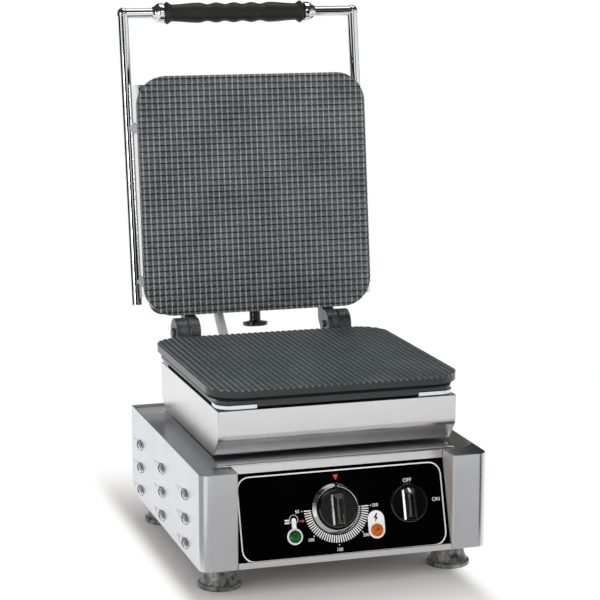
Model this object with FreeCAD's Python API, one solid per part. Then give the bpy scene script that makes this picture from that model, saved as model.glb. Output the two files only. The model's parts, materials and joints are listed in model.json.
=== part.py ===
import FreeCAD, Part
import math
import os
from FreeCAD import Placement, Rotation, Vector

# Single waffle cone maker, shown with its lid open. Millimetres, +X right, +Y back, +Z up.
# The origin lies on the counter, under the middle of the open machine.

# Base cabinet
SHEET = 1.5
BASE_WIDTH = 300.0
BASE_DEPTH = 304.0
BASE_BOTTOM = 26.0
BASE_TOP = 124.0
BASE_FRONT = -202.2
CORNER_RADIUS = 11.0
FLANGE_WIDTH = 38.0
FLANGE_BEND = 2.5
CAP_STEP = 13.0
PANEL_SETBACK = 28.6
FLOOR_LIP = 6.5
REAR_HEM = 10.0
DECK_TOP = 113.0

# Hood that covers the base and carries the lower iron
HOOD_HALF_WIDTH = 125.0
HOOD_TOP = 128.2
HOOD_LIP_TOP = 125.0
HOOD_LIP_LEAN = 1.8
HOOD_LIP_BOTTOM = 115.0
HOOD_SLOPE_DEPTH = 23.5
HOOD_REAR = 253.0
HOOD_EDGE_RADIUS = 3.0
HOOD_SLOPE_RADIUS = 18.0

# Louvres pressed out of the side panels, mouths to the front
LOUVRE_LENGTH = 37.0
LOUVRE_HALF_HEIGHT = 5.0
LOUVRE_OUT = 4.2
LOUVRE_RAKE = 9.0
LOUVRE_WALL = 0.8
LOUVRE_FACETS = 10
LOUVRE_FRONT = 62.0
LOUVRE_PITCH_Y = 99.5
LOUVRE_LOWEST = 38.0
LOUVRE_PITCH_Z = 25.5
LOUVRE_COUNT = 3

# Feet
FOOT_X = 122.0
FOOT_INSET = 36.0
FOOT_RIM_RADIUS = 22.0
FOOT_RIM_HEIGHT = 4.5
FOOT_FLARE_RADIUS = 20.5
FOOT_WAIST_RADIUS = 16.8
FOOT_WAIST_HEIGHT = 12.5
FOOT_NECK_RADIUS = 15.5

# Casings, shared by the lower and the upper iron
CASING_HALF_WIDTH = 125.0
CASING_FRONT = 27.5
CASING_REAR = 264.0
CASING_TOP = 180.0
CASING_SHOULDER = 151.6
CASING_BOTTOM = 130.4
CASING_FRONT_SLOPE = 17.0
CASING_REAR_SLOPE = 14.0
CASING_REAR_SHOULDER = 143.0
CASING_BEND = 10.0
CASING_RIM = 12.0
SPACER_RADIUS = 9.0
SPACER_X = 80.0
SPACER_DEPTHS = (90.0, 210.0)

# Irons: grid plate, heater slab behind it and the wafer gap between the closed plates
HINGE_DEPTH = 302.8
HINGE_Z = 203.0
OPEN_ANGLE = 97.2
WAFER_GAP = 2.0
PLATE_HALF_WIDTH = 131.4
PLATE_FRONT = 19.4
PLATE_REAR = 284.0
PLATE_RADIUS = 33.0
PLATE_THICKNESS = 12.0
PLATE_EDGE = 8.0
PLATE_RIB_INSET = 3.3
GRID_CELLS = 40
GRID_DEPTH = 2.6
SLAB_THICKNESS = 8.2
SLAB_HALF_WIDTH = 123.5
SLAB_FRONT = 28.7
SLAB_REAR_INSET = 1.5
SLAB_RADIUS = 14.0
CLIP_FRONT_ARM = 40.0
CLIP_REAR_ARM = 20.0
CLIP_SIDE_ARM = 24.0
CLIP_LIP = 1.2
CLIP_LIP_HEIGHT = 3.4
CLIP_SHEET = 0.9
CLIP_FLANGE = 10.0
CLIP_SETBACK = 3.0
ELEMENT_SIZE = 8.0
ELEMENT_RUN_SPACING = 50.0
ELEMENT_RUNS = 4
ELEMENT_MARGIN = 32.0
INSULATION_MARGIN = 24.0
INSULATION_SIDE_GAP = 10.0
INSULATION_DROP = 16.0
SENSOR_RADIUS = 3.0
SENSOR_LENGTH = 90.0
SENSOR_DEPTH = 105.0
SENSOR_CLAMP_LENGTH = 70.0
SENSOR_CLAMP_WIDTH = 12.0
SENSOR_CLAMP_HEIGHT = 8.0

# Hinge
LUG_INNER = 74.0
LUG_MIDDLE = 87.2
LUG_OUTER = 101.0
LUG_SIDE_GAP = 0.3
LUG_TONGUE = 24.0
LUG_CHEEK = 6.0
LUG_HEEL_DEPTH = 298.0
KNUCKLE_RADIUS = 16.3
KNUCKLE_CROWN = 127.0
KNUCKLE_ROOT = -56.0
PIN_RADIUS = 4.0
PIN_CLEARANCE = 0.05
PIN_HEAD_RADIUS = 5.5
PIN_HEAD = 3.0
STOP_TOP = 3.0
STOP_BOTTOM = 12.0
STOP_BACK = 7.0
STOP_GAP = 0.4

# Handle
ROD_RADIUS = 5.7
ROD_HALF_SPAN = 134.4
ROD_CORNER_RADIUS = 6.6
ROD_LOW_REACH = 31.0
ROD_LOW_OFFSET = 31.0
ROD_BAR_REACH = 355.2
ROD_BAR_OFFSET = 43.0
SADDLE_RADIUS = 6.0
SADDLE_REACHES = (57.0, 228.0)
SADDLE_BOLT_RADIUS = 6.0
SADDLE_BOLT_HEAD = 4.0
GRIP_CENTRE = -6.5
GRIP_LENGTH = 164.0
GRIP_END_RADIUS = 9.0
GRIP_COLLAR_RADIUS = 12.8
GRIP_COLLAR_PEAK = 4.2
GRIP_COLLAR_WIDTH = 9.0
GRIP_NECK_RADIUS = 9.5
GRIP_BODY_RADIUS = 11.3
GRIP_WAVE_DEPTH = 1.8
GRIP_WAVE_PITCH = 20.5
GRIP_HALF_WAVES = 2
FERRULE_LENGTH = 13.0
FERRULE_RADIUS = 11.0
FERRULE_NOSE_RADIUS = 6.7
FERRULE_SHOULDER = 8.0

# Control panel, leaning back from the floor to the hood's lip
PANEL_FOOT_DEPTH = 2.2
PANEL_HEAD_DEPTH = 29.6
PANEL_THICKNESS = 2.0
THERMOSTAT_AT = (-6.0, 49.5)
SWITCH_AT = (69.5, 48.3)
GREEN_LAMP_AT = (-51.3, 25.1)
ORANGE_LAMP_AT = (34.7, 24.4)
KNOB_RADIUS = 20.3
KNOB_CROWN_RADIUS = 19.0
KNOB_SKIRT = 3.0
KNOB_DISC = 7.0
KNOB_HEIGHT = 15.5
KNOB_FIN_FOOT = (7.0, -18.6, 18.6)
KNOB_FIN_TOP = (2.6, -13.5, 8.0)
KNOB_NIB_HALF_WIDTH = 1.3
KNOB_NIB_REACH = 25.6
KNOB_NIB_BOTTOM = 3.4
KNOB_NIB_TOP = 5.0
KNOB_LIFT = 0.5
BEZEL_INNER = 20.9
BEZEL_OUTER = 25.3
BEZEL_HEIGHT = 3.0
BEZEL_CHAMFER = 1.0
SHAFT_RADIUS = 3.0
SHAFT_DEPTH = 14.0
SHAFT_END_GAP = 1.0
SHAFT_HOLE = 5.0
LAMP_RADIUS = 6.3
LAMP_BARREL = 5.5
LAMP_DEPTH = 26.0
LAMP_FLANGE = 1.2
LAMP_DOME = 2.6
CONTROL_BODY = 34.0
CONTROL_DEPTH = 28.0
TERMINAL_LEFT = 60.0
TERMINAL_DEPTH = 220.0
TERMINAL_LENGTH = 60.0
TERMINAL_WIDTH = 22.0
TERMINAL_HEIGHT = 18.0
TERMINAL_WAYS = 5
TERMINAL_SLOT = 3.0

# Rear: conduit to the upper heater, gland for the mains lead, rest foot of the lid
CONDUIT_X = -38.0
CONDUIT_RADIUS = 5.5
CONDUIT_OFFSET = 45.0
CONDUIT_TURN_REACH = 16.0
CONDUIT_TURN_RADIUS = 24.0
CONDUIT_KNEE = (283.0, 153.0)
CONDUIT_KNEE_RADIUS = 38.0
NUT_RADIUS = 10.5
NUT_LENGTH = 5.0
GLAND_X = 90.0
GLAND_Z = 58.0
GLAND_BORE = 4.5
GLAND_HEX_RADIUS = 11.0
GLAND_HEX_LENGTH = 7.0
GLAND_CAP_RADIUS = 9.0
GLAND_NOSE_RADIUS = 7.0
GLAND_SHOULDER = 14.0
GLAND_LENGTH = 18.0
REST_X = 2.0
REST_OFFSET = 33.0
REST_STEM_RADIUS = 6.3
REST_DISC_RADIUS = 14.2
REST_DISC = 6.0
REST_LIP = 1.2
REAR_SCREW_X = 138.0
REAR_SCREW_HEIGHTS = (38.0, 104.0)
REAR_SCREW_RADIUS = 4.0
REAR_SCREW_HEAD = 2.5

ALONG_X = Vector(1, 0, 0)
ALONG_Y = Vector(0, 1, 0)
ALONG_Z = Vector(0, 0, 1)
HALF_WIDTH = BASE_WIDTH / 2
INNER_HALF_WIDTH = HALF_WIDTH - SHEET
PANEL_HALF_WIDTH = HALF_WIDTH - FLANGE_WIDTH
PLATE_FACE = HINGE_Z - WAFER_GAP / 2
PLATE_UNDERSIDE = PLATE_FACE - PLATE_EDGE
PLATE_BACK = PLATE_FACE - PLATE_THICKNESS
SLAB_BACK = PLATE_BACK - SLAB_THICKNESS
SLAB_REAR = PLATE_REAR - SLAB_REAR_INSET
FLOOR_TOP = BASE_BOTTOM + SHEET
PANEL_LEAN = math.atan2(PANEL_HEAD_DEPTH - PANEL_FOOT_DEPTH, HOOD_LIP_BOTTOM - FLOOR_TOP)
LID_WALL_REACH = HINGE_DEPTH - CASING_REAR


def from_front(depth):
    """Y of a point that lies this far behind the front of the base."""
    return BASE_FRONT + depth


HINGE = Vector(0, from_front(HINGE_DEPTH), HINGE_Z)


# Shape helpers

def turned_corner(before, corner, after, radius):
    """Start, middle and end of the arc that rounds one corner of a path."""
    back = (before - corner).normalize()
    ahead = (after - corner).normalize()
    half = back.getAngle(ahead) / 2
    reach = radius / math.tan(half)
    middle = corner + (back + ahead).normalize() * (radius / math.sin(half) - radius)
    return corner + back * reach, middle, corner + ahead * reach


def rounded_wire(points, radii):
    """Closed wire through the points, each corner turned by its own radius (0 leaves it sharp)."""
    count = len(points)
    turns = []
    for i, corner in enumerate(points):
        if radii[i] == 0:
            turns.append((corner, None, corner))
        else:
            turns.append(turned_corner(points[i - 1], corner, points[(i + 1) % count], radii[i]))
    edges = []
    for i, (start, middle, end) in enumerate(turns):
        if middle is not None:
            edges.append(Part.Arc(start, middle, end).toShape())
        edges.append(Part.LineSegment(end, turns[(i + 1) % count][0]).toShape())
    return Part.Wire(edges)


def bent_path(points, radii):
    """Open path of straight runs, each inner corner turned by its radius."""
    edges = []
    start = points[0]
    for i, radius in enumerate(radii, start=1):
        arc_start, middle, arc_end = turned_corner(points[i - 1], points[i], points[i + 1], radius)
        edges.append(Part.LineSegment(start, arc_start).toShape())
        edges.append(Part.Arc(arc_start, middle, arc_end).toShape())
        start = arc_end
    edges.append(Part.LineSegment(start, points[-1]).toShape())
    return Part.Wire(edges)


def pipe(path, radius):
    """Round bar along a path of straight runs and tangent arcs."""
    first = path.OrderedEdges[0]
    start = first.valueAt(first.FirstParameter)
    section = Part.Wire(Part.makeCircle(radius, start, first.tangentAt(first.FirstParameter)))
    return path.makePipeShell([section], True, False)


def prism(points, radii, along):
    """Solid from a rounded outline pushed along a vector."""
    return Part.Face(rounded_wire(points, radii)).extrude(along)


def plan_prism(z_from, z_to, outline, radii):
    """Outline in plan, as (x, depth behind the front) pairs, raised between two heights."""
    points = [Vector(x, from_front(depth), z_from) for x, depth in outline]
    return prism(points, radii, ALONG_Z * (z_to - z_from))


def side_prism(x_from, x_to, outline, radii):
    """Outline seen from the side, as (depth behind the front, z) pairs, pushed across."""
    points = [Vector(x_from, from_front(depth), z) for depth, z in outline]
    return prism(points, radii, ALONG_X * (x_to - x_from))


def block(x_from, x_to, depth_from, depth_to, z_from, z_to):
    size = (x_to - x_from, depth_to - depth_from, z_to - z_from)
    return Part.makeBox(*size, Vector(x_from, from_front(depth_from), z_from))


def turned(profile):
    """Solid of revolution about Z from (radius, height) pairs, a closed outline of straight lines."""
    points = [Vector(radius, 0, height) for radius, height in profile]
    wire = Part.makePolygon(points + [points[0]])
    return Part.Face(wire).revolve(Vector(), ALONG_Z, 360)


def hex_bar(radius, length, bore=0.0):
    """Six-sided bar about Z, bored through when a bore is given."""
    corners = []
    for i in range(6):
        angle = i * math.pi / 3
        corners.append(Vector(radius * math.cos(angle), radius * math.sin(angle), 0))
    bar = prism(corners, [0] * 6, ALONG_Z * length)
    return bar.cut(Part.makeCylinder(bore, length)) if bore else bar


def placed(shape, place):
    copy = shape.copy()
    copy.Placement = place.multiply(copy.Placement)
    return copy


def left_and_right(shape):
    """The piece and its mirror image across the machine's middle."""
    return shape, shape.mirror(Vector(), ALONG_X)


def joined(shapes):
    return shapes[0].fuse(shapes[1:]).removeSplitter()


def upper(shape):
    """Turns a lower-iron piece over into its twin on the closed lid."""
    return shape.mirror(Vector(0, 0, HINGE_Z), ALONG_Z)


def opened(shape):
    """Swings a piece of the closed lid up to its open rest."""
    copy = shape.copy()
    copy.rotate(HINGE, ALONG_X, -OPEN_ANGLE)
    return copy


def lid_point(x, reach, offset):
    """Point of the closed lid: reach is measured forward of the hinge, offset above the hinge."""
    return Vector(x, HINGE.y - reach, HINGE_Z + offset)


def panel_place(x, rise, out=0.0):
    """Frame on the control panel's face: its Z axis points out of the panel, its Y axis up the panel."""
    up = Vector(0, math.sin(PANEL_LEAN), math.cos(PANEL_LEAN))
    normal = Vector(0, -math.cos(PANEL_LEAN), math.sin(PANEL_LEAN))
    foot = Vector(x, from_front(PANEL_FOOT_DEPTH), FLOOR_TOP)
    turn = Rotation(ALONG_X, 90 - math.degrees(PANEL_LEAN))
    return Placement(foot + up * rise + normal * out, turn)


def export(name, shape):
    shape.exportStep("parts/" + name + ".step")


# Base cabinet

def pyramid(mouth, point):
    """Closed solid from a flat polygon and the point that it tapers to."""
    faces = [Part.Face(Part.makePolygon(mouth + mouth[:1]))]
    for i, corner in enumerate(mouth):
        following = mouth[(i + 1) % len(mouth)]
        faces.append(Part.Face(Part.makePolygon([corner, following, point, corner])))
    return Part.makeSolid(Part.makeShell(faces))


def louvre(wall, inward):
    """Half cone in a few facets on the left panel's face: its mouth is raked and its point is at the rear.

    The wall thins it, and inward carries its flat side that far into the panel.
    """
    high = LOUVRE_HALF_HEIGHT - wall
    out = LOUVRE_OUT - wall
    rake = LOUVRE_RAKE / (2 * LOUVRE_HALF_HEIGHT)
    mouth = []
    for i in range(LOUVRE_FACETS + 1):
        angle = math.pi * i / LOUVRE_FACETS
        mouth.append(Vector(-out * math.sin(angle), rake * high * math.cos(angle), high * math.cos(angle)))
    if inward:
        mouth.append(Vector(inward, -rake * high, -high))
        mouth.append(Vector(inward, rake * high, high))
    return pyramid(mouth, Vector(inward / 2, LOUVRE_LENGTH - wall, 0))


def side_panel():
    """Left side with its rounded front corner, front flange, return and pressed louvres."""
    edge = -PANEL_HALF_WIDTH
    return_inside = edge - SHEET
    outline = [(edge, PANEL_SETBACK), (edge, 0), (-HALF_WIDTH, 0), (-HALF_WIDTH, BASE_DEPTH)]
    outline += [(-INNER_HALF_WIDTH, BASE_DEPTH), (-INNER_HALF_WIDTH, SHEET)]
    outline += [(return_inside, SHEET), (return_inside, PANEL_SETBACK)]
    inside_corner = CORNER_RADIUS - SHEET
    radii = [0, FLANGE_BEND, CORNER_RADIUS, 0, 0, inside_corner, FLANGE_BEND - SHEET, 0]
    wall = plan_prism(BASE_BOTTOM, BASE_TOP, outline, radii)
    cap_outline = [(return_inside, SHEET), (return_inside, PANEL_SETBACK)]
    cap_outline += [(-INNER_HALF_WIDTH + CAP_STEP, PANEL_SETBACK)]
    cap_outline += [(-INNER_HALF_WIDTH, PANEL_SETBACK + CAP_STEP), (-INNER_HALF_WIDTH, SHEET)]
    cap = plan_prism(BASE_TOP - SHEET, BASE_TOP, cap_outline, [0, 0, 0, 0, inside_corner])
    pressed = louvre(0.0, 0.0)
    hollow = louvre(LOUVRE_WALL, 2 * SHEET)
    shells = []
    hollows = []
    for column in range(LOUVRE_COUNT):
        for row in range(LOUVRE_COUNT):
            depth = LOUVRE_FRONT + column * LOUVRE_PITCH_Y
            z = LOUVRE_LOWEST + row * LOUVRE_PITCH_Z
            place = Placement(Vector(-HALF_WIDTH, from_front(depth), z), Rotation())
            shells.append(placed(pressed, place))
            hollows.append(placed(hollow, place))
    return joined([wall, cap] + shells).cut(hollows)


def rear_panel():
    half = INNER_HALF_WIDTH
    sheet = block(-half, half, BASE_DEPTH - SHEET, BASE_DEPTH, FLOOR_TOP, BASE_TOP)
    hem = block(-half, half, BASE_DEPTH - REAR_HEM, BASE_DEPTH, BASE_TOP - SHEET, BASE_TOP)
    inside = Vector(GLAND_X, from_front(BASE_DEPTH - SHEET), GLAND_Z)
    return joined([sheet, hem]).cut(Part.makeCylinder(GLAND_BORE, SHEET, inside, ALONG_Y))


def base_floor(sides):
    """Floor with a front lip, let in between the side panels' flanges."""
    half = INNER_HALF_WIDTH
    edge = PANEL_HALF_WIDTH
    plate = block(-half, half, CORNER_RADIUS, BASE_DEPTH, BASE_BOTTOM, FLOOR_TOP)
    tongue = block(-edge, edge, 0, CORNER_RADIUS, BASE_BOTTOM, FLOOR_TOP)
    lip = block(-edge, edge, 0, SHEET, BASE_BOTTOM, BASE_BOTTOM + FLOOR_LIP)
    return joined([plate, tongue, lip]).cut(list(sides))


def hood_solid(inset):
    """Hood's block, shrunk by the inset on every side but its open underside."""
    half = HOOD_HALF_WIDTH - inset
    front = PANEL_SETBACK + inset
    rear = HOOD_REAR - inset
    top = HOOD_TOP - inset
    low = DECK_TOP - SHEET - inset
    outline = [(front, low), (front + HOOD_LIP_LEAN, HOOD_LIP_TOP - inset), (front + HOOD_SLOPE_DEPTH, top)]
    outline += [(rear, top), (rear, low)]
    bend = HOOD_EDGE_RADIUS - inset
    return side_prism(-half, half, outline, [0, bend, HOOD_SLOPE_RADIUS, bend, 0])


def hood():
    """Raised cover with its front lip, standing on a deck that closes the base."""
    half = INNER_HALF_WIDTH
    deck = block(-half, half, PANEL_SETBACK, BASE_DEPTH - SHEET, DECK_TOP - SHEET, DECK_TOP)
    cover = joined([hood_solid(0.0), deck])
    edge = PANEL_HALF_WIDTH
    mouth = block(-edge, edge, 0, PANEL_SETBACK + 2 * SHEET, 0, HOOD_LIP_BOTTOM)
    return cover.cut([hood_solid(SHEET), mouth]).removeSplitter()


def foot():
    """Bell-shaped cast foot with a flat rim, its neck under the floor."""
    profile = [(0, 0), (FOOT_RIM_RADIUS, 0), (FOOT_RIM_RADIUS, FOOT_RIM_HEIGHT)]
    profile += [(FOOT_FLARE_RADIUS, FOOT_RIM_HEIGHT), (FOOT_WAIST_RADIUS, FOOT_WAIST_HEIGHT)]
    profile += [(FOOT_NECK_RADIUS, BASE_BOTTOM), (0, BASE_BOTTOM)]
    return turned(profile)


# Irons

def casing_solid(inset):
    half = CASING_HALF_WIDTH - inset
    top = CASING_TOP + inset
    front = CASING_FRONT + inset
    rear = CASING_REAR - inset
    bottom = CASING_BOTTOM + inset
    outline = [(front, top), (front, CASING_SHOULDER), (front + CASING_FRONT_SLOPE, bottom)]
    outline += [(rear - CASING_REAR_SLOPE, bottom), (rear, CASING_REAR_SHOULDER), (rear, top)]
    return side_prism(-half, half, outline, [0] + [CASING_BEND] * 4 + [0])


def casing():
    """Trough with flat cheeks, sloping lower edges and a rim turned in for the slab."""
    half = CASING_HALF_WIDTH
    opening_half = half - CASING_RIM
    rim = block(-half, half, CASING_FRONT, CASING_REAR, CASING_TOP - SHEET, CASING_TOP)
    opening = block(-opening_half, opening_half, CASING_FRONT + CASING_RIM, CASING_REAR - CASING_RIM,
                    CASING_BOTTOM, HINGE_Z)
    trough = casing_solid(0.0).cut(casing_solid(SHEET))
    return joined([trough, rim.cut(opening)])


def plate_blank(inset, z_from, z_to):
    """Square plate with rounded corners, drawn in all round by the inset."""
    half = PLATE_HALF_WIDTH - inset
    outline = [(-half, PLATE_FRONT + inset), (half, PLATE_FRONT + inset)]
    outline += [(half, PLATE_REAR - inset), (-half, PLATE_REAR - inset)]
    return plan_prism(z_from, z_to, outline, [PLATE_RADIUS - inset] * 4)


def ridged_slab(start, across, along):
    """Slab with a row of straight ridges, one for each grid cell, that run along its second vector."""
    pitch = across / GRID_CELLS
    valley = ALONG_Z * (PLATE_FACE - GRID_DEPTH)
    points = [start + ALONG_Z * PLATE_UNDERSIDE, start + valley]
    for cell in range(GRID_CELLS):
        points.append(start + pitch * (cell + 0.5) + ALONG_Z * PLATE_FACE)
        points.append(start + pitch * (cell + 1) + valley)
    points.append(start + across + ALONG_Z * PLATE_UNDERSIDE)
    return Part.Face(Part.makePolygon(points + points[:1])).extrude(along)


def grid_plate():
    """Baking plate: two crossed sets of ridges leave a field of small pyramids, on a rib drawn in all round."""
    corner = Vector(-PLATE_HALF_WIDTH, from_front(PLATE_FRONT), 0)
    width = ALONG_X * (2 * PLATE_HALF_WIDTH)
    depth = ALONG_Y * (PLATE_REAR - PLATE_FRONT)
    crossed = ridged_slab(corner, width, depth).common(ridged_slab(corner, depth, width))
    face = crossed.common(plate_blank(0.0, PLATE_UNDERSIDE, PLATE_FACE))
    return joined([face, plate_blank(PLATE_RIB_INSET, PLATE_BACK, PLATE_UNDERSIDE)])


def slab_blank(offset, z_from, z_to):
    """The heater slab's outline as a block, let out all round by the offset."""
    half = SLAB_HALF_WIDTH + offset
    front = SLAB_FRONT - offset
    rear = SLAB_REAR + offset
    outline = [(-half, front), (half, front), (half, rear), (-half, rear)]
    return plan_prism(z_from, z_to, outline, [SLAB_RADIUS + offset] * 4)


def heater_slab():
    return slab_blank(0.0, SLAB_BACK, PLATE_BACK)


def clip_band(outer, inner, z_from, z_to):
    """Ring that follows the slab's outline between two offsets."""
    return slab_blank(outer, z_from, z_to).cut(slab_blank(inner, z_from, z_to))


def front_clip():
    """Steel angle round the slab's front left corner: a lip, a flange under the slab and a foot set back."""
    low = SLAB_BACK - CLIP_SHEET
    ring = joined([clip_band(CLIP_LIP, 0.0, low, SLAB_BACK + CLIP_LIP_HEIGHT),
                   clip_band(0.0, -CLIP_FLANGE, low, SLAB_BACK),
                   clip_band(-CLIP_SETBACK, -CLIP_FLANGE, CASING_TOP, low)])
    left = -SLAB_HALF_WIDTH - CLIP_LIP
    front = SLAB_FRONT - CLIP_LIP
    corner = block(left, left + CLIP_FRONT_ARM, front, front + CLIP_SIDE_ARM, CASING_TOP, PLATE_BACK)
    return ring.common(corner)


def rear_clip():
    """Flat angle on the casing's rear left corner, short of the lug."""
    side = -SLAB_HALF_WIDTH
    rear = CASING_REAR
    outline = [(side, rear), (side, rear - CLIP_SIDE_ARM), (side + CLIP_FLANGE, rear - CLIP_SIDE_ARM)]
    outline += [(side + CLIP_FLANGE, rear - CLIP_FLANGE), (side + CLIP_REAR_ARM, rear - CLIP_FLANGE)]
    outline += [(side + CLIP_REAR_ARM, rear)]
    return plan_prism(CASING_TOP, SLAB_BACK, outline, [0] * len(outline))


def corner_clips():
    """Four steel angles that carry the slab on the casing's rim."""
    return Part.makeCompound(left_and_right(front_clip()) + left_and_right(rear_clip()))


def heating_element():
    """Tubular heater, pressed flat against the slab, in long runs joined by round bends."""
    half = ELEMENT_SIZE / 2
    turn = ELEMENT_RUN_SPACING / 2
    low = SLAB_BACK - ELEMENT_SIZE
    near = CASING_FRONT + ELEMENT_MARGIN + turn
    far = CASING_REAR - ELEMENT_MARGIN - turn
    first_x = -ELEMENT_RUN_SPACING * (ELEMENT_RUNS - 1) / 2
    pieces = []
    for run in range(ELEMENT_RUNS):
        x = first_x + run * ELEMENT_RUN_SPACING
        pieces.append(block(x - half, x + half, near, far, low, SLAB_BACK))
        if run + 1 < ELEMENT_RUNS:
            at_rear = run % 2 == 1
            centre = Vector(x + turn, from_front(far if at_rear else near), low)
            bend = Part.makeCylinder(turn + half, ELEMENT_SIZE, centre, ALONG_Z, 180)
            bend = bend.cut(Part.makeCylinder(turn - half, ELEMENT_SIZE, centre))
            if not at_rear:
                bend.rotate(centre, ALONG_Z, 180)
            pieces.append(bend)
    return joined(pieces)


def insulation():
    half = CASING_HALF_WIDTH - INSULATION_SIDE_GAP
    near = CASING_FRONT + INSULATION_MARGIN
    far = CASING_REAR - INSULATION_MARGIN
    return block(-half, half, near, far, CASING_BOTTOM + SHEET, SLAB_BACK - INSULATION_DROP)


def sensor_bulb():
    """Bulb of the thermostat's capillary, under the middle of the lower slab."""
    at = Vector(0, from_front(SENSOR_DEPTH), SLAB_BACK - SENSOR_CLAMP_HEIGHT / 2)
    return Part.makeCylinder(SENSOR_RADIUS, SENSOR_LENGTH, at, ALONG_Y)


def sensor_clamp():
    half = SENSOR_CLAMP_WIDTH / 2
    near = SENSOR_DEPTH + (SENSOR_LENGTH - SENSOR_CLAMP_LENGTH) / 2
    far = near + SENSOR_CLAMP_LENGTH
    return block(-half, half, near, far, SLAB_BACK - SENSOR_CLAMP_HEIGHT, SLAB_BACK).cut(sensor_bulb())


def casing_spacers():
    """Hexagon standoffs between the hood and the lower casing."""
    spacers = []
    for depth in SPACER_DEPTHS:
        place = Placement(Vector(-SPACER_X, from_front(depth), HOOD_TOP), Rotation())
        spacers += left_and_right(placed(hex_bar(SPACER_RADIUS, CASING_BOTTOM - HOOD_TOP), place))
    return Part.makeCompound(spacers)


# Hinge

def on_knuckle(angle):
    """Point on the knuckle's rim, as a (depth, z) pair."""
    turn = math.radians(angle)
    return HINGE_DEPTH + KNUCKLE_RADIUS * math.cos(turn), HINGE_Z + KNUCKLE_RADIUS * math.sin(turn)


def lug(x_from, x_to, bore):
    """Cast hinge lug: a tongue clamped under the slab, an arm and a bored knuckle."""
    tongue = SLAB_REAR - LUG_TONGUE
    outline = [(tongue, CASING_TOP), (tongue, SLAB_BACK), (SLAB_REAR, SLAB_BACK), (SLAB_REAR, PLATE_BACK)]
    outline += [(PLATE_REAR, PLATE_BACK), (PLATE_REAR, PLATE_BACK + LUG_CHEEK)]
    outline += [on_knuckle(KNUCKLE_CROWN), on_knuckle(KNUCKLE_ROOT), (LUG_HEEL_DEPTH, CASING_TOP)]
    arm = side_prism(x_from, x_to, outline, [0] * len(outline))
    at = Vector(x_from, HINGE.y, HINGE.z)
    knuckle = Part.makeCylinder(KNUCKLE_RADIUS, x_to - x_from, at, ALONG_X)
    hole = Part.makeCylinder(bore, x_to - x_from, at, ALONG_X)
    return arm.fuse(knuckle).cut(hole).removeSplitter()


def lower_lug():
    return lug(-LUG_OUTER, -LUG_MIDDLE, PIN_RADIUS)


def lid_lug():
    """Lid's lug, with a stop that meets the lower plate's rear when the lid is fully open."""
    x_from = -LUG_MIDDLE + LUG_SIDE_GAP
    swung = opened(upper(lug(x_from, -LUG_INNER, PIN_RADIUS + PIN_CLEARANCE)))
    stop = block(x_from, -LUG_INNER, PLATE_REAR + STOP_GAP, HINGE_DEPTH - STOP_BACK,
                 HINGE_Z - STOP_BOTTOM, HINGE_Z - STOP_TOP)
    return joined([swung, stop])


def hinge_pin():
    length = LUG_OUTER - LUG_INNER + PIN_HEAD
    at = Vector(-LUG_OUTER, HINGE.y, HINGE.z)
    shank = Part.makeCylinder(PIN_RADIUS, length, at, ALONG_X)
    head = Part.makeCylinder(PIN_HEAD_RADIUS, PIN_HEAD, at - ALONG_X * PIN_HEAD, ALONG_X)
    return joined([shank, head])


# Handle

def handle_rod():
    """Three straight runs with welded, rounded corners."""
    corners = [lid_point(-ROD_HALF_SPAN, ROD_LOW_REACH, ROD_LOW_OFFSET)]
    corners.append(lid_point(-ROD_HALF_SPAN, ROD_BAR_REACH, ROD_BAR_OFFSET))
    corners.append(lid_point(ROD_HALF_SPAN, ROD_BAR_REACH, ROD_BAR_OFFSET))
    corners.append(lid_point(ROD_HALF_SPAN, ROD_LOW_REACH, ROD_LOW_OFFSET))
    runs = []
    for start, end in zip(corners, corners[1:]):
        runs.append(Part.makeCylinder(ROD_RADIUS, start.distanceToPoint(end), start, end - start))
    knuckles = [Part.makeSphere(ROD_CORNER_RADIUS, corner) for corner in corners[1:-1]]
    return joined(runs + knuckles)


def rod_offset(reach):
    """Offset of the rod's axis where it passes a reach: the rod leans away from the lid."""
    share = (reach - ROD_LOW_REACH) / (ROD_BAR_REACH - ROD_LOW_REACH)
    return ROD_LOW_OFFSET + share * (ROD_BAR_OFFSET - ROD_LOW_OFFSET)


def handle_saddles(rod):
    """Spacers between the casing's cheeks and the rod, hollowed to its round."""
    saddles = []
    for reach in SADDLE_REACHES:
        at = lid_point(-ROD_HALF_SPAN, reach, rod_offset(reach))
        post = Part.makeCylinder(SADDLE_RADIUS, ROD_HALF_SPAN - CASING_HALF_WIDTH, at, ALONG_X).cut(rod)
        nearest = max(post.Solids, key=lambda solid: solid.CenterOfMass.x)
        saddles += left_and_right(nearest)
    return Part.makeCompound(saddles)


def handle_bolts():
    """Hexagon heads inside the casing that hold the saddles and the rod."""
    heads = []
    for reach in SADDLE_REACHES:
        at = lid_point(-CASING_HALF_WIDTH + SHEET, reach, rod_offset(reach))
        head = placed(hex_bar(SADDLE_BOLT_RADIUS, SADDLE_BOLT_HEAD), Placement(at, Rotation(ALONG_Z, ALONG_X)))
        heads += left_and_right(head)
    return Part.makeCompound(heads)


def along_bar(shape, x):
    """Turns a piece built about Z to lie along the handle's bar, starting at x."""
    at = lid_point(x, ROD_BAR_REACH, ROD_BAR_OFFSET)
    return placed(shape, Placement(at, Rotation(ALONG_Z, ALONG_X)))


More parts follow.
